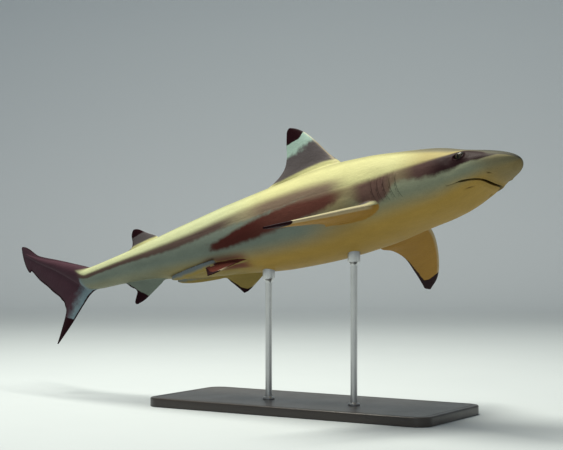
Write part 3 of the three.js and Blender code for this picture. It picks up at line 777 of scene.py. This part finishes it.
def eyeball_rings(side, rings=34, count=48):
    polar = ((np.arange(rings) + 0.5) / rings * math.pi)[:, None]
    turn = full_turn(count)[None, :]
    s = EYE.station + EYE.length * np.sin(polar) * np.cos(turn)
    y = side * (eye_middle() - EYE.depth * np.cos(polar)) + 0 * turn
    z = EYE.level + EYE.height * np.sin(polar) * np.sin(turn)
    return np.stack([s, y, z], axis=-1)


def eye_socket(side):
    """The opening between the lids, a little wider outside."""
    turn = full_turn(40)
    middle = flank_at(EYE.station, EYE.level)
    rings = []
    for out, size in ((-0.5, 0.95), (-0.05, 0.97), (0.12, 1.03), (0.5, 1.4)):
        s = EYE.station + size * LIDS.length * np.cos(turn)
        z = EYE.level + size * LIDS.height * np.sin(turn)
        rings.append(np.column_stack([s, side * (middle + out) + 0 * s, z]))
    return solid("eye_socket", rings)


# ---- Putting the skin together ----
def neighbour_mean(points, edges):
    total = np.zeros_like(points)
    count = np.zeros(len(points))
    for a, b in (edges.T, edges.T[::-1]):
        for k in range(3):
            total[:, k] += np.bincount(a, weights=points[b, k], minlength=len(points))
        count += np.bincount(a, minlength=len(points))
    return total / np.maximum(count, 1)[:, None]


def tree_of(points):
    tree = KDTree(len(points))
    for i, point in enumerate(points):
        tree.insert(point, i)
    tree.balance()
    return tree


def round_seams(piece, originals):
    """Smooths the creases that joining left; points that joining made mark where they are."""
    points = coordinates(piece)
    tree = tree_of(originals)
    fresh = np.array([tree.find(point)[2] > 1e-3 for point in points])
    seam = tree_of(points[fresh])
    near = np.array([seam.find(point)[2] for point in points])
    weight = SEAM.strength * smoothstep(SEAM.reach, 0.25 * SEAM.reach, near)[:, None]
    edges = np.empty(len(piece.data.edges) * 2, np.int32)
    piece.data.edges.foreach_get("vertices", edges)
    edges = edges.reshape(-1, 2)
    for _ in range(SEAM.rounds):
        points += weight * (neighbour_mean(points, edges) - points)
    move_to(piece, points)


def make_fins():
    return [
        median_fin("dorsal_first", DORSAL, top_at, 1, 0.7),
        median_fin("dorsal_second", DORSAL_REAR, top_at, 1, 0.25),
        median_fin("anal", ANAL, bottom_at, -1, 0.25),
        pectoral_fin(1, PECTORAL_LEFT),
        pectoral_fin(-1, PECTORAL_RIGHT),
        pelvic_fin(1, PELVIC.drop_left),
        pelvic_fin(-1, PELVIC.drop_right),
        *caudal_fin(),
    ]


def straight_skin():
    skin = solid("skin", body_grid())
    originals = [coordinates(skin)]
    fins = make_fins()
    for part in [fin.solid for fin in fins] + [clasper("clasper", side) for side in (1, -1)]:
        originals.append(coordinates(part))
        combine(skin, part, "UNION")
    claspers = originals[-2:]
    round_seams(skin, np.vstack(originals))
    cuts = [mouth_cut()]
    for side in (1, -1):
        cuts += [gill_cut(side, index) for index in range(GILLS.count)]
        cuts += [nostril_cut(side), eye_socket(side)]
    for cut in cuts:
        combine(skin, cut, "DIFFERENCE")
    return skin, fins, claspers


# ---- Markings, with painted sunlight and shade ----
# tip, pale and brown are how far inside the border of their colour a point is; rim is the share of the
# painted highlight along a front edge.
UNMARKED = dict(tip=-5.0, pale=-5.0, rim=0.0)
ALL_OVER, ALL_UNDER = 6.0, -6.0  # values of brown far inside and far outside its border

# Borders run along the body: station, angle up from the flank. First the lower border of the dark
# colours, from the head band to the wedge on the flank.
BROWN_BORDER = smooth_profile([
    (0, 40), (2, 24), (3, 13), (4.5, 7), (6.3, 4), (7.7, -2), (9.5, -3), (12.6, -1), (14, 1), (16, 4),
    (17, 2), (18, -8), (19.3, -16), (20.3, -21), (21.5, -15), (23, -10), (24.5, 0), (25.5, 3), (28, -4),
    (31, -9), (35, -12), (40, -17), (45, -22), (48, -25), (50, -26), (52, -22),
])
# The same behind the wedge, and the middle of the streak's fade into the pale back; the streak is brown
# darkened as painted shade below the lit back.
BACK_BORDER = smooth_profile([
    (0, 25), (25, 25), (30, 16), (35, 12), (40, 10.5), (45, 10), (50, 8), (55, 2), (60, -3), (70, -4),
    (78, -8), (97, -8),
])
BACK_EDGE = smooth_profile([
    (0, 25), (25, 25), (30, 27), (40, 29), (45, 27), (50, 24), (55, 20), (60, 17), (70, 14), (78, 10),
    (97, 8),
])
# The wedge's upper border and its hind end.
WEDGE_TOP = smooth_profile([
    (0, 90), (28, 60), (30, 26), (33, 18), (38, 12.5), (42, 8), (45, 3), (48, -4), (51, -12), (97, -14),
])
WEDGE_END = 51.3
# Upper border of the dark band through eye and gills, brown darkened as painted shade below the lit top,
# and where the darker top of the head, also painted shade, begins.
HEAD_BAND_TOP = smooth_profile([
    (0, 20), (3.2, 30), (4.3, 45), (6.5, 51), (7.3, 43), (8.3, 35), (9.6, 29), (11, 25.5), (14, 21),
    (16, 19), (18, 17), (21, 14), (24, 13), (30, 10), (35, 12), (40, 10), (45, 4), (50, -8), (97, -8),
])
HEAD_TOP = smooth_profile([
    (0, 28), (4, 44), (5.5, 51), (7, 50), (9, 44), (12, 46), (16, 53), (24, 62), (97, 62),
])
# Borders across a fin: back from its origin, out from the body.
TIP_BORDERS = dict(
    dorsal_first=[(6.37, 7.34), (6.5, 6.93), (7.12, 6.37), (8.24, 6.24), (9.5, 6.08)],
    dorsal_second=[(2.36, 2.11), (4.66, 1.93)],
    anal=[(2.3, 2.6), (4.9, 1.25)],
    pectoral=[(8.6, 13.3), (9.9, 13.6), (10.9, 13.2), (11.8, 12.4)],
    pelvic=[(3.6, 3.45), (4.8, 3.75), (6.0, 3.2)],
    caudal=[(4.6, -5.7), (6.8, -4.8)],
)
# On the first dorsal fin: lower borders of the pale band and of the brown.
PALE_BORDER = [(5.27, 5.42), (5.8, 4.94), (6.8, 4.6), (7.8, 4.2), (9.5, 4.09)]
DORSAL_FOOT = [(1.5, 1.1), (3, 1.2), (5.7, 1.05), (8.5, 0.8), (11.2, 0.6)]
# Black rim of a fin's hind edge: out from the body, width.
BLACK_RIMS = dict(
    dorsal_first=[(0, -5)],
    dorsal_second=[(0, 0.14)],
    anal=[(0, 0.22)],
    pectoral=[(4.5, -0.1), (7, 0.1), (13, 0.5)],
    pelvic=[(1.2, 0), (2.2, 0.3), (3.2, 0.5)],
)
# Pale part of the tail's lower lobe: height, distance from its front edge.
TAIL_PALE = [(-6, 0.9), (-3, 1.5), (-1, 1.8), (1, 1.2)]
# Where the tail fin's own colours begin: angle up from the flank, station.
TAIL_START = [(-90, 77.8), (-20, 79.2), (20, 79.9), (45, 78.5), (90, 76.2)]
FIN_COLOURS = dict(  # over and under
    dorsal_first=("fin_brown", "belly"),
    dorsal_second=("fin_brown", "belly"),
    anal=("fin_brown", "flank"),
    pectoral=("fin_brown", "fin_under"),
    pelvic=("pelvic_top_shaded", "belly_rear"),
    caudal=("caudal", "caudal_pale"),
)


def along_line(x, points):
    return np.interp(x, *zip(*points))


def blend(base, other, share):
    share = np.asarray(share)[:, None]
    return base * (1 - share) + np.asarray(other) * share


def layered(size, base, layers):
    """One colour at every point, with others laid over it in turn, each by its share."""
    colours = np.tile(COLOURS[base], (size, 1))
    for name, share in layers:
        colours = blend(colours, COLOURS[name], share)
    return colours


def body_marks(points):
    """Colours under and over the brown's border, with painted sunlight and shade in them, and the border
    itself, on the body.
    """
    s = points[:, 0]
    angle, out = around(points)
    wedge = np.minimum(angle - BROWN_BORDER(s), 4 * (WEDGE_END - s))
    wedge = np.minimum(wedge, WEDGE_TOP(s) - angle)
    brown = np.maximum(angle - BACK_BORDER(s), wedge)

    # Painted shade on the white body beside the pelvic fins.
    pelvic_shade = smoothstep(-76, -66, angle) * smoothstep(-30, -50, angle)
    pelvic_shade *= smoothstep(44.5, 47, s) * smoothstep(54.5, 52, s)
    # The underside's colours hold painted shade.
    under = layered(len(s), "belly", [
        ("belly_rear", smoothstep(42, 50, s)),
        ("flank", smoothstep(-62, -24, angle) * smoothstep(22, 35, s)),
        ("flank", 0.75 * smoothstep(54, 66, s)),
        ("cheek", smoothstep(-56, -10, angle) * smoothstep(32, 20, s)),
        ("snout_under", 0.8 * smoothstep(6, 2, s)),
        ("pelvic_shade_brown", 0.95 * pelvic_shade),
    ])

    # Painted shade: the brown streak below the lit back.
    shaded_streak = smoothstep(BACK_EDGE(s) + 9, BACK_EDGE(s) - 7, angle)
    # Painted shade: the dark band down the side of the head, below its lit top.
    band = smoothstep(HEAD_BAND_TOP(s) + 5, HEAD_BAND_TOP(s) - 4, angle)
    in_wedge = band * smoothstep(22, 29, s) * (s < WEDGE_END + 2)
    # Painted shade on the top of the head.
    shaded_head_top = smoothstep(HEAD_TOP(s) - 6, HEAD_TOP(s) + 8, angle) * smoothstep(23, 11, s)
    # The back's colour here is painted sunlight; the layers over it darken it with painted shade over
    # the real brown.
    over = layered(len(s), "back", [
        ("sunlit_back_head", smoothstep(18, 11, s)),
        ("sunlit_back_tail", smoothstep(38, 52, s)),
        # Painted shade on the snout.
        ("shaded_snout", smoothstep(7, 5.2, s)),
        ("shaded_streak", shaded_streak * smoothstep(40, 50, s)),
        ("brown", shaded_streak * smoothstep(24, 29, s) * smoothstep(50, 40, s)),
        ("head_shade_band", band * smoothstep(20, 13, s)),
        ("eye_shade_band", band * smoothstep(13, 9, s)),
        ("gill_shade_band", band * smoothstep(13, 19, s) * smoothstep(27, 22, s)),
        # The wedge: brown darkened as painted shade.
        ("wedge", in_wedge),
        ("shaded_wedge_rear", in_wedge * smoothstep(36, 45, s)),
        ("shaded_head_top", shaded_head_top),
        ("shaded_snout", smoothstep(9, 4, s) * np.maximum(shaded_head_top, smoothstep(4, 1, s))),
    ])
    # Painted shade: the upper back and the top of the head darkened by up to three tenths.
    over *= 1 - 0.3 * smoothstep(46, 64, angle)[:, None]
    return under, over, brown, angle, out


def plain_marks(size, over, under="belly"):
    """Marks of a piece that shows its upper colour all over."""
    marks = {name: np.full(size, value) for name, value in UNMARKED.items()}
    colours = dict(over=layered(size, over, []), under=layered(size, under, []))
    return dict(marks, brown=np.full(size, ALL_OVER), **colours)


def clasper_marks(rod):
    """Blue-grey above and the belly's colour below."""
    marks = plain_marks(len(rod), "clasper", "belly_rear")
    height = (rod[:, 2] - clasper_level(rod[:, 0])) / CLASPER.radius
    return dict(marks, brown=12 * (height + 0.35))


def caudal_marks(fin, from_front):
    """Black tip of the lower lobe and dark edges, and how far above the pale part a point is."""
    a, b = fin.plan.T
    upper_hind = spline_points(lobe_edges(UPPER_LOBE)[1], 90)
    lower_lead, lower_trail = lobe_edges(LOWER_LOBE)
    lower_front, lower_hind = spline_points(lower_lead, 60), spline_points(lower_trail, 60)
    from_back = np.minimum(distance_to(upper_hind, fin.plan), distance_to(lower_hind, fin.plan))
    tip = along_line(a, TIP_BORDERS["caudal"]) - b
    margin = np.maximum(0.3 - from_back, 0.1 - from_front)
    above_pale = 4 * (distance_to(lower_front, fin.plan) - along_line(b, TAIL_PALE))
    return dict(tip=np.maximum(tip, margin), brown=above_pale)


def fin_marks(fin):
    """A fin's colours, its black tip and rim, its pale band and the painted highlight along its front
    edge.
    """
    a, b = fin.plan.T
    from_front, from_back = distance_to(fin.front, fin.plan), distance_to(fin.back, fin.plan)
    marks = plain_marks(len(a), *FIN_COLOURS[fin.name])
    if fin.name == "caudal":
        return dict(marks, **caudal_marks(fin, from_front))
    tip = b - along_line(a, TIP_BORDERS[fin.name])
    marks["tip"] = np.maximum(tip, along_line(b, BLACK_RIMS[fin.name]) - from_back)
    back = 0 * b  # share of the back's colour
    if fin.name == "dorsal_first":
        marks["pale"] = b - along_line(a, PALE_BORDER)
        # Painted highlight along the front edge.
        marks["rim"] = 0.5 * smoothstep(0.2, 0.05, from_front)
        foot = along_line(a, DORSAL_FOOT)
        back = smoothstep(foot + 0.25, foot - 0.25, b)
    elif fin.name == "dorsal_second":
        back = smoothstep(0.65, 0.35, b)
    elif fin.name == "anal":
        marks["brown"] = np.full(len(a), ALL_UNDER)
    elif fin.name == "pectoral":
        marks["brown"] = ALL_OVER * fin.side
        # Painted highlights along the front edge: the pale rim, and the back's lit colour along it.
        marks["rim"] = 0.7 * smoothstep(0.4, 0.12, from_front) * smoothstep(1.5, 3, b)
        back = 0.55 * smoothstep(1.2, 0.3, from_front)
    elif fin.name == "pelvic":
        marks["brown"] = ALL_OVER * fin.side
        # Painted highlight along the front edge.
        marks["rim"] = 0.7 * smoothstep(0.2, 0.08, from_front) * smoothstep(2.4, 3.2, b)
    marks["over"] = blend(marks["over"], COLOURS["back"], back)
    return marks


def slit_shade(points, out):
    """Painted shade: 1 inside the mouth, gills and nostrils, and on dark lines beside them: the shadow
    under the upper lip and the shade in the chin's creases.
    """
    s, y, z = points.T
    inside = smoothstep(-0.18, -0.5, out)
    side = np.clip(np.abs(y), 0, MOUTH.half_width)
    inside *= np.where(s > GILLS.first - 1.5, 0.6, 1)
    # Painted shadow of the upper lip along the mouth, and painted shade in the chin's creases.
    lip = 0.6 * bump(s - mouth_station(side), 0.1) * (np.abs(y) < MOUTH.half_width)
    lip *= (z < level_at(s)) * smoothstep(9.3, 7.2, s)
    furrow = 0.8 * furrow_at(s, y, z, 0.5)
    return np.maximum(inside * (s < 24), np.maximum(lip, furrow))


def put_attribute(piece, name, kind, values):
    attribute = piece.data.attributes.new(name, kind, "POINT")
    key = {"FLOAT": "value", "FLOAT_VECTOR": "vector", "FLOAT_COLOR": "color"}[kind]
    if kind == "FLOAT_COLOR":
        values = np.column_stack([values, np.ones(len(values))])
    attribute.data.foreach_set(key, np.asarray(values, np.float32).ravel())


def paint(skin, fins, claspers):
    """Gives every point its colours and its distances from the markings' borders."""
    points = coordinates(skin)
    under, over, brown, angle, out = body_marks(points)
    pieces = [(fin.points, fin_marks(fin)) for fin in fins]
    pieces += [(rod, clasper_marks(rod)) for rod in claspers]
    tree = tree_of(np.vstack([piece for piece, _ in pieces]))
    found = [tree.find(point)[1:] for point in points]
    nearest = np.array([index for index, _ in found])
    away = np.array([distance for _, distance in found])
    share = smoothstep(0.0, 0.08, out) * smoothstep(0.5, 0.25, away)
    tail_start = along_line(angle, TAIL_START)
    share = np.maximum(share, smoothstep(tail_start - 1, tail_start + 1, points[:, 0]))
    for name, base in dict(UNMARKED, brown=brown).items():
        there = np.concatenate([marks[name] for _, marks in pieces])[nearest]
        put_attribute(skin, name, "FLOAT", base + (there - base) * share)
    for name, base in {"over": over, "under": under}.items():
        there = np.vstack([marks[name] for _, marks in pieces])[nearest]
        put_attribute(skin, name, "FLOAT_COLOR", base + (there - base) * share[:, None])
    # Painted shadow: a dark line on the body along the top of each clasper.
    crease = 0.85 * bump(away, 0.3) * (nearest >= sum(len(fin.points) for fin in fins))
    crease *= smoothstep(0.1, 0.4, points[:, 2] - clasper_level(points[:, 0])) * (out < 0.1)
    # deep holds painted shade: slits, lip and chin creases, and the claspers' shadow lines.
    put_attribute(skin, "deep", "FLOAT", np.maximum(slit_shade(points, out), crease))
    put_attribute(skin, "straight", "FLOAT_VECTOR", points)


# ---- Bending and posing ----
BACKBONE_STEP = 0.25
BACKBONE = np.arange(-1, 104.01, BACKBONE_STEP)
BACKBONE_TURN = heading_at(BACKBONE)


def traced_backbone():
    middle = np.radians(heading_at(BACKBONE[1:] - BACKBONE_STEP / 2))
    x = np.concatenate([[0], np.cumsum(-np.cos(middle) * BACKBONE_STEP)])
    y = np.concatenate([[0], np.cumsum(-np.sin(middle) * BACKBONE_STEP)])
    return x - np.interp(PIVOT, BACKBONE, x), y - np.interp(PIVOT, BACKBONE, y)


BACKBONE_X, BACKBONE_Y = traced_backbone()


def turned(points, axis, angle):
    """Points turned about an axis of the frame."""
    cos, sin = math.cos(math.radians(angle)), math.sin(math.radians(angle))
    i, j = {"x": (1, 2), "y": (2, 0), "z": (0, 1)}[axis]
    result = points.copy()
    result[..., i] = cos * points[..., i] - sin * points[..., j]
    result[..., j] = sin * points[..., i] + cos * points[..., j]
    return result


def posed(points):
    """Where points of the straight shark are in the model, in metres."""
    s, y, z = points[..., 0], points[..., 1], points[..., 2]
    turn = np.radians(np.interp(s, BACKBONE, BACKBONE_TURN))
    x = np.interp(s, BACKBONE, BACKBONE_X) - np.sin(turn) * y
    across = np.interp(s, BACKBONE, BACKBONE_Y) + np.cos(turn) * y
    bent = np.stack([x, across, z], axis=-1) * PERCENT
    bent = turned(turned(turned(bent, "x", ROLL), "y", -PITCH), "z", YAW)
    return bent + np.array([0, 0, PIVOT_HEIGHT])


def pose_piece(piece):
    """Bending turns the mesh inside out, because s runs backwards, so its faces are flipped."""
    move_to(piece, posed(coordinates(piece)))
    piece.data.flip_normals()
    piece.data.update()


def finish_surface(piece, material, sharp_angle):
    """Smooth shading with the sharper edges kept, and the piece's only material."""
    piece.data.shade_smooth()
    piece.data.set_sharp_from_angle(angle=math.radians(sharp_angle))
    piece.data.materials.clear()
    piece.data.materials.append(material)


# ---- Materials ----
class Graph:
    """Short names for building one material's nodes."""

    def __init__(self, name):
        self.material = bpy.data.materials.new(name)
        self.material.use_nodes = True
        self.tree = self.material.node_tree
        self.shader = self.tree.nodes["Principled BSDF"]

    def feed(self, socket, value):
        if isinstance(value, bpy.types.NodeSocket):
            self.tree.links.new(value, socket)
        elif isinstance(value, tuple) and socket.type == "RGBA":
            socket.default_value = (*value, 1)
        else:
            socket.default_value = value

    def node(self, kind, inputs, output=0, **settings):
        """A new node with its inputs fed by number or name; gives back one of its outputs."""
        made = self.tree.nodes.new(kind)
        for key, value in settings.items():
            setattr(made, key, value)
        for key, value in inputs.items():
            self.feed(made.inputs[key], value)
        return made.outputs[output]

    def math(self, operation, *values):
        return self.node("ShaderNodeMath", dict(enumerate(values)), operation=operation)

    def plus(self, first, second):
        return self.math("ADD", first, second)

    def minus(self, first, second):
        return self.math("SUBTRACT", first, second)

    def times(self, first, second):
        return self.math("MULTIPLY", first, second)

    def mix(self, share, first, second, kind="MIX"):
        inputs = {0: share, 6: first, 7: second}
        return self.node("ShaderNodeMix", inputs, 2, data_type="RGBA", blend_type=kind)

    def step(self, value, low, high):
        """Rises smoothly from 0 to 1 as the value goes from low to high."""
        inputs = {0: value, 1: low, 2: high}
        return self.node("ShaderNodeMapRange", inputs, interpolation_type="SMOOTHSTEP")

    def attribute(self, name, output="Fac"):
        return self.node("ShaderNodeAttribute", {}, output, attribute_name=name)

    def part(self, vector, axis):
        return self.node("ShaderNodeSeparateXYZ", {0: vector}, axis)

    def vector(self, x, y, z=0.0):
        return self.node("ShaderNodeCombineXYZ", {0: x, 1: y, 2: z})

    def scaled(self, vector, factors):
        return self.node("ShaderNodeVectorMath", {0: vector, 1: factors}, operation="MULTIPLY")

    def noise(self, vector, scale, detail=2.0, roughness=0.5):
        inputs = dict(Vector=vector, Scale=scale, Detail=detail, Roughness=roughness)
        return self.node("ShaderNodeTexNoise", inputs, "Fac")

    def cells(self, vector, scale):
        return self.node("ShaderNodeTexVoronoi", dict(Vector=vector, Scale=scale), "Distance")

    def bump(self, height, distance, strength=1.0, under=None):
        inputs = dict(Height=height, Distance=distance, Strength=strength)
        if under is not None:
            inputs["Normal"] = under
        return self.node("ShaderNodeBump", inputs)

    def position(self):
        return self.node("ShaderNodeTexCoord", {}, "Object")

    def finish(self, **inputs):
        for name, value in inputs.items():
            self.feed(self.shader.inputs[name.replace("_", " ")], value)
        return self.material


def skin_material():
    g = Graph("shark_skin")
    straight = g.attribute("straight", "Vector")

    # Borders waver a little, and the brown one is grainy where it fades out.
    waver = g.minus(g.noise(straight, 0.9, 4.0, 0.6), 0.5)
    grain = g.minus(g.noise(straight, 9.0, 3.0, 0.7), 0.5)
    ragged = g.plus(g.times(waver, 9.0), g.times(grain, 5.0))
    brown = g.step(g.plus(g.attribute("brown"), ragged), -4.5, 4.5)
    sharp = g.plus(g.times(waver, 0.35), g.times(grain, 0.12))
    tip = g.step(g.plus(g.attribute("tip"), sharp), -0.07, 0.07)
    pale = g.step(g.plus(g.attribute("pale"), g.times(sharp, 6.0)), -0.6, 0.6)

    colour = g.mix(brown, g.attribute("under", "Color"), g.attribute("over", "Color"))
    colour = g.mix(pale, colour, PALE_BAND)
    # Painted highlight along the fins' front edges.
    colour = g.mix(g.attribute("rim"), colour, EDGE_HIGHLIGHT)

    # Broad and fine mottling, streaked along the body.
    broad = g.noise(g.scaled(straight, (0.35, 1.0, 1.0)), 0.9, 3.0, 0.55)
    fine = g.noise(g.scaled(straight, (0.7, 1.0, 1.0)), 7.0, 4.0, 0.7)
    tone = g.plus(g.plus(g.times(broad, 0.28), g.times(fine, 0.5)), 0.61)
    colour = g.mix(1.0, colour, g.vector(tone, tone, tone), "MULTIPLY")
    colour = g.mix(tip, colour, TIP_BLACK)

    # Sense pores dot the snout.
    pore = g.step(g.cells(straight, 2.6), 0.13, 0.07)
    on_snout = g.step(g.part(straight, "X"), 7.0, 4.5)
    pores = g.times(g.times(pore, on_snout), 0.55)
    colour = g.mix(pores, colour, PORE_COLOUR)
    # Painted shade in the slits and along lip, chin creases and claspers.
    colour = g.mix(g.attribute("deep"), colour, SLIT_SHADE)

    # Skin teeth: a fine even roughness that breaks up the shine.
    teeth = g.noise(g.position(), 900.0, 2.0, 0.6)
    folds = g.noise(g.scaled(straight, (0.5, 1.0, 1.0)), 2.2, 3.0, 0.5)
    normal = g.bump(folds, 0.0012, 0.5)
    normal = g.bump(teeth, 0.00022, 0.7, normal)
    normal = g.bump(pores, -0.0006, 1.0, normal)
    roughness = g.plus(g.times(fine, 0.22), 0.36)
    g.finish(Base_Color=colour, Roughness=roughness, Normal=normal)
    return g.finish(Specular_IOR_Level=0.03, Coat_Weight=0.01, Coat_Roughness=0.4)


def eye_material():
    """Greenish gold iris with fine rays, an upright slit of a pupil and a wet surface."""
    g = Graph("eye_surface")
    gaze = g.attribute("gaze", "Vector")
    along, up = g.part(gaze, "X"), g.part(gaze, "Z")
    flat = g.math("SQRT", g.plus(g.times(along, along), g.times(up, up)))
    turn = g.math("ARCTAN2", up, along)
    streaks = g.noise(g.vector(g.times(turn, 7.0), g.times(flat, 1.6)), 2.4, 4.0, 0.65)
    iris = g.mix(streaks, IRIS_DARK, IRIS_LIGHT)
    colour = g.mix(g.step(flat, 0.55, 0.68), iris, EYE_RIM)
    reach = g.times(up, 1.9)
    pupil = g.times(g.math("MAXIMUM", g.minus(1.0, g.times(reach, reach)), 0.0), 0.17)
    slit = g.minus(g.math("ABSOLUTE", along), pupil)
    colour = g.mix(g.step(slit, 0.03, 0.0), colour, PUPIL)
    normal = g.bump(streaks, 0.0002, 0.3)
    g.finish(Base_Color=colour, Roughness=0.3, Normal=normal, Specular_IOR_Level=0.15)
    return g.finish(Coat_Weight=0.06, Coat_Roughness=0.1)


def lacquer_material():
    """Dark stained wood under satin lacquer, its grain along the base."""
    g = Graph("stand_lacquer")
    grain = g.node(
        "ShaderNodeMapping", dict(Vector=g.position(), Rotation=(0, 0, math.radians(-YAW))),
    )
    figure = g.noise(g.scaled(grain, (3.0, 34.0, 34.0)), 1.0, 5.0, 0.6)
    pores = g.step(g.noise(g.scaled(grain, (60.0, 900.0, 900.0)), 1.0, 2.0), 0.62, 0.7)
    colour = g.mix(figure, WOOD_DARK, WOOD_LIGHT)
    colour = g.mix(g.times(pores, 0.6), colour, WOOD_PORE)
    haze = g.noise(g.position(), 14.0, 4.0, 0.6)
    roughness = g.plus(g.times(haze, 0.2), 0.3)
    normal = g.bump(g.minus(figure, pores), 0.0002, 0.35)
    g.finish(Base_Color=colour, Roughness=roughness, Normal=normal)
    return g.finish(Coat_Weight=0.35, Coat_Roughness=0.22)


def steel_material():
    """Steel brushed lengthwise, with faint wipe marks."""
    g = Graph("stand_steel")
    brushed = g.noise(g.scaled(g.position(), (900.0, 900.0, 30.0)), 1.0, 3.0, 0.6)
    wiped = g.noise(g.position(), 24.0, 4.0, 0.6)
    colour = g.mix(brushed, STEEL_DARK, STEEL_LIGHT)
    roughness = g.plus(g.times(wiped, 0.25), 0.2)
    normal = g.bump(brushed, 0.0001, 0.4)
    return g.finish(Base_Color=colour, Metallic=1.0, Roughness=roughness, Normal=normal)


def floor_material():
    g = Graph("studio_floor")
    floor = g.mix(g.noise(g.position(), 3.0, 3.0, 0.5), *FLOOR_TONES)
    wall = g.step(g.part(g.position(), "Y"), *WALL_STARTS)
    return g.finish(Base_Color=g.mix(wall, floor, WALL_COLOUR), Roughness=0.75)


# ---- Pieces ----
FLESH_NODES = (
    "head", "lower_jaw", "trunk_front", "trunk_rear", "tail_stalk", "caudal_fin_upper",
    "caudal_fin_lower", "dorsal_fin_first", "dorsal_fin_second", "anal_fin", "pectoral_fin_left",
    "pectoral_fin_right", "pelvic_fin_left", "pelvic_fin_right", "clasper_left", "clasper_right",
)


def add_skin():
    skin, fins, claspers = straight_skin()
    paint(skin, fins, claspers)
    pose_piece(skin)
    finish_surface(skin, skin_material(), 42)
    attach(skin, "root")
    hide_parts(*FLESH_NODES)
    return skin


def add_eye(side, name, material):
    eye = solid(name, eyeball_rings(side))
    points = coordinates(eye)
    gaze = np.column_stack([
        (points[:, 0] - EYE.station) / EYE.length,
        (side * points[:, 1] - eye_middle()) / EYE.depth,
        (points[:, 2] - EYE.level) / EYE.height,
    ])
    put_attribute(eye, "gaze", "FLOAT_VECTOR", gaze)
    pose_piece(eye)
    finish_surface(eye, material, 60)
    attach(eye, "root")
    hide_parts(name)
    eye.name = name + "_ball"


def base_ring(inset, z, count=14):
    """One rounded rectangle of the base's outline."""
    corner = BASE.corner
    points = []
    for sx, sy, start in ((1, 1, 0), (-1, 1, 90), (-1, -1, 180), (1, -1, 270)):
        for i in range(count + 1):
            angle = math.radians(start + i * 90 / count)
            x = sx * (BASE.length / 2 - corner) + (corner - inset) * math.cos(angle)
            y = sy * (BASE.width / 2 - corner) + (corner - inset) * math.sin(angle)
            points.append((x, y, z))
    return turned(np.array(points), "z", YAW)


def add_base():
    """A slab with a rounded upper edge and a shallow groove round its top."""
    thickness, chamfer = BASE.thickness, BASE.chamfer
    rings = [base_ring(0.0015, 0), base_ring(0, 0.0012), base_ring(0, thickness - chamfer)]
    for turn in (22.5, 45, 67.5, 90):
        angle = math.radians(turn)
        inset = chamfer * (1 - math.cos(angle))
        rings.append(base_ring(inset, thickness - chamfer * (1 - math.sin(angle))))
    for inset, depth in GROOVE:
        rings.append(base_ring(inset, thickness - depth))
    base = solid("stand_base_slab", np.array(rings))
    finish_surface(base, lacquer_material(), 30)
    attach(base, "root")
    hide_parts("stand_base")


def rod_outline(foot, belly):
    """Radius and height up the rod, from the base to inside the belly."""
    radius, wide, neck = ROD.radius, ROD.collar_radius, belly - ROD.collar_height
    outline = [(radius + more, foot + height) for more, height in FOOT_RING]
    outline += [(radius + more, neck + height) for more, height in CUP]
    return outline + [(wide - 0.0006, neck + 0.0078), (wide, neck + 0.009), (wide, belly + 0.012)]


def add_rod(name, station, skin, material):
    """A turned rod with a foot ring and a flared cup, cut to the belly that rests in it."""
    under = posed(np.array([[station, 0.0, float(bottom_at(station))]]))[0]
    turn = full_turn(48)
    rings = [
        np.column_stack([under[0] + r * np.cos(turn), under[1] + r * np.sin(turn), z + 0 * turn])
        for r, z in rod_outline(BASE.thickness + 0.0001, under[2])
    ]
    rod = solid(name + "_turned", np.array(rings))
    combine(rod, placed("belly", skin.data.copy()), "DIFFERENCE")
    finish_surface(rod, material, 35)
    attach(rod, "root")
    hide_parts(name)


# ---- Floor, lights and camera ----
def add_studio():
    """A pale floor that curves up into a pale wall far behind."""
    start, radius, half_width = STUDIO.bend, STUDIO.radius, STUDIO.half_width
    profile = [(STUDIO.front, 0.0), (start, 0.0)]
    for turn in np.linspace(0.1, math.pi / 2, 12):
        profile.append((start + radius * math.sin(turn), radius * (1 - math.cos(turn))))
    profile.append((start + radius, STUDIO.height))
    points = [(x, y, z) for y, z in profile for x in (-half_width, half_width)]
    faces = [(2 * i, 2 * i + 1, 2 * i + 3, 2 * i + 2) for i in range(len(profile) - 1)]
    floor = mesh_object("studio", points, faces)
    floor.data.shade_smooth()
    floor.data.materials.append(floor_material())


def add_light(name, place, target, size, energy, colour):
    light = bpy.data.lights.new(name, "AREA")
    light.shape = "RECTANGLE"
    light.size, light.size_y = size
    light.energy = energy
    light.color = colour
    lamp = placed(name, light)
    lamp.location = place
    lamp.rotation_euler = (Vector(target) - Vector(place)).to_track_quat("-Z", "Y").to_euler()


def add_camera():
    data = bpy.data.cameras.new("camera")
    data.lens = FOCAL_PIXELS * data.sensor_width / IMAGE_WIDTH
    camera = placed("camera", data)
    camera.location = CAMERA_PLACE
    camera.rotation_euler = (math.pi / 2, 0, 0)
    bpy.context.scene.camera = camera


def add_world():
    world = bpy.data.worlds.new("studio_air")
    world.use_nodes = True
    background = world.node_tree.nodes["Background"]
    background.inputs["Color"].default_value = AIR_COLOUR
    background.inputs["Strength"].default_value = AIR_STRENGTH
    bpy.context.scene.world = world


# ---- The scene ----
skin = add_skin()
eye_surface = eye_material()
for side, name in ((1, "eye_left"), (-1, "eye_right")):
    add_eye(side, name, eye_surface)
steel = steel_material()
for name, station in ROD_STATIONS.items():
    add_rod("stand_rod_" + name, station, skin, steel)
add_base()

add_studio()
for name, settings in LIGHTS.items():
    add_light(name, **settings)
add_world()
add_camera()
bpy.context.scene.view_settings.view_transform = "Standard"
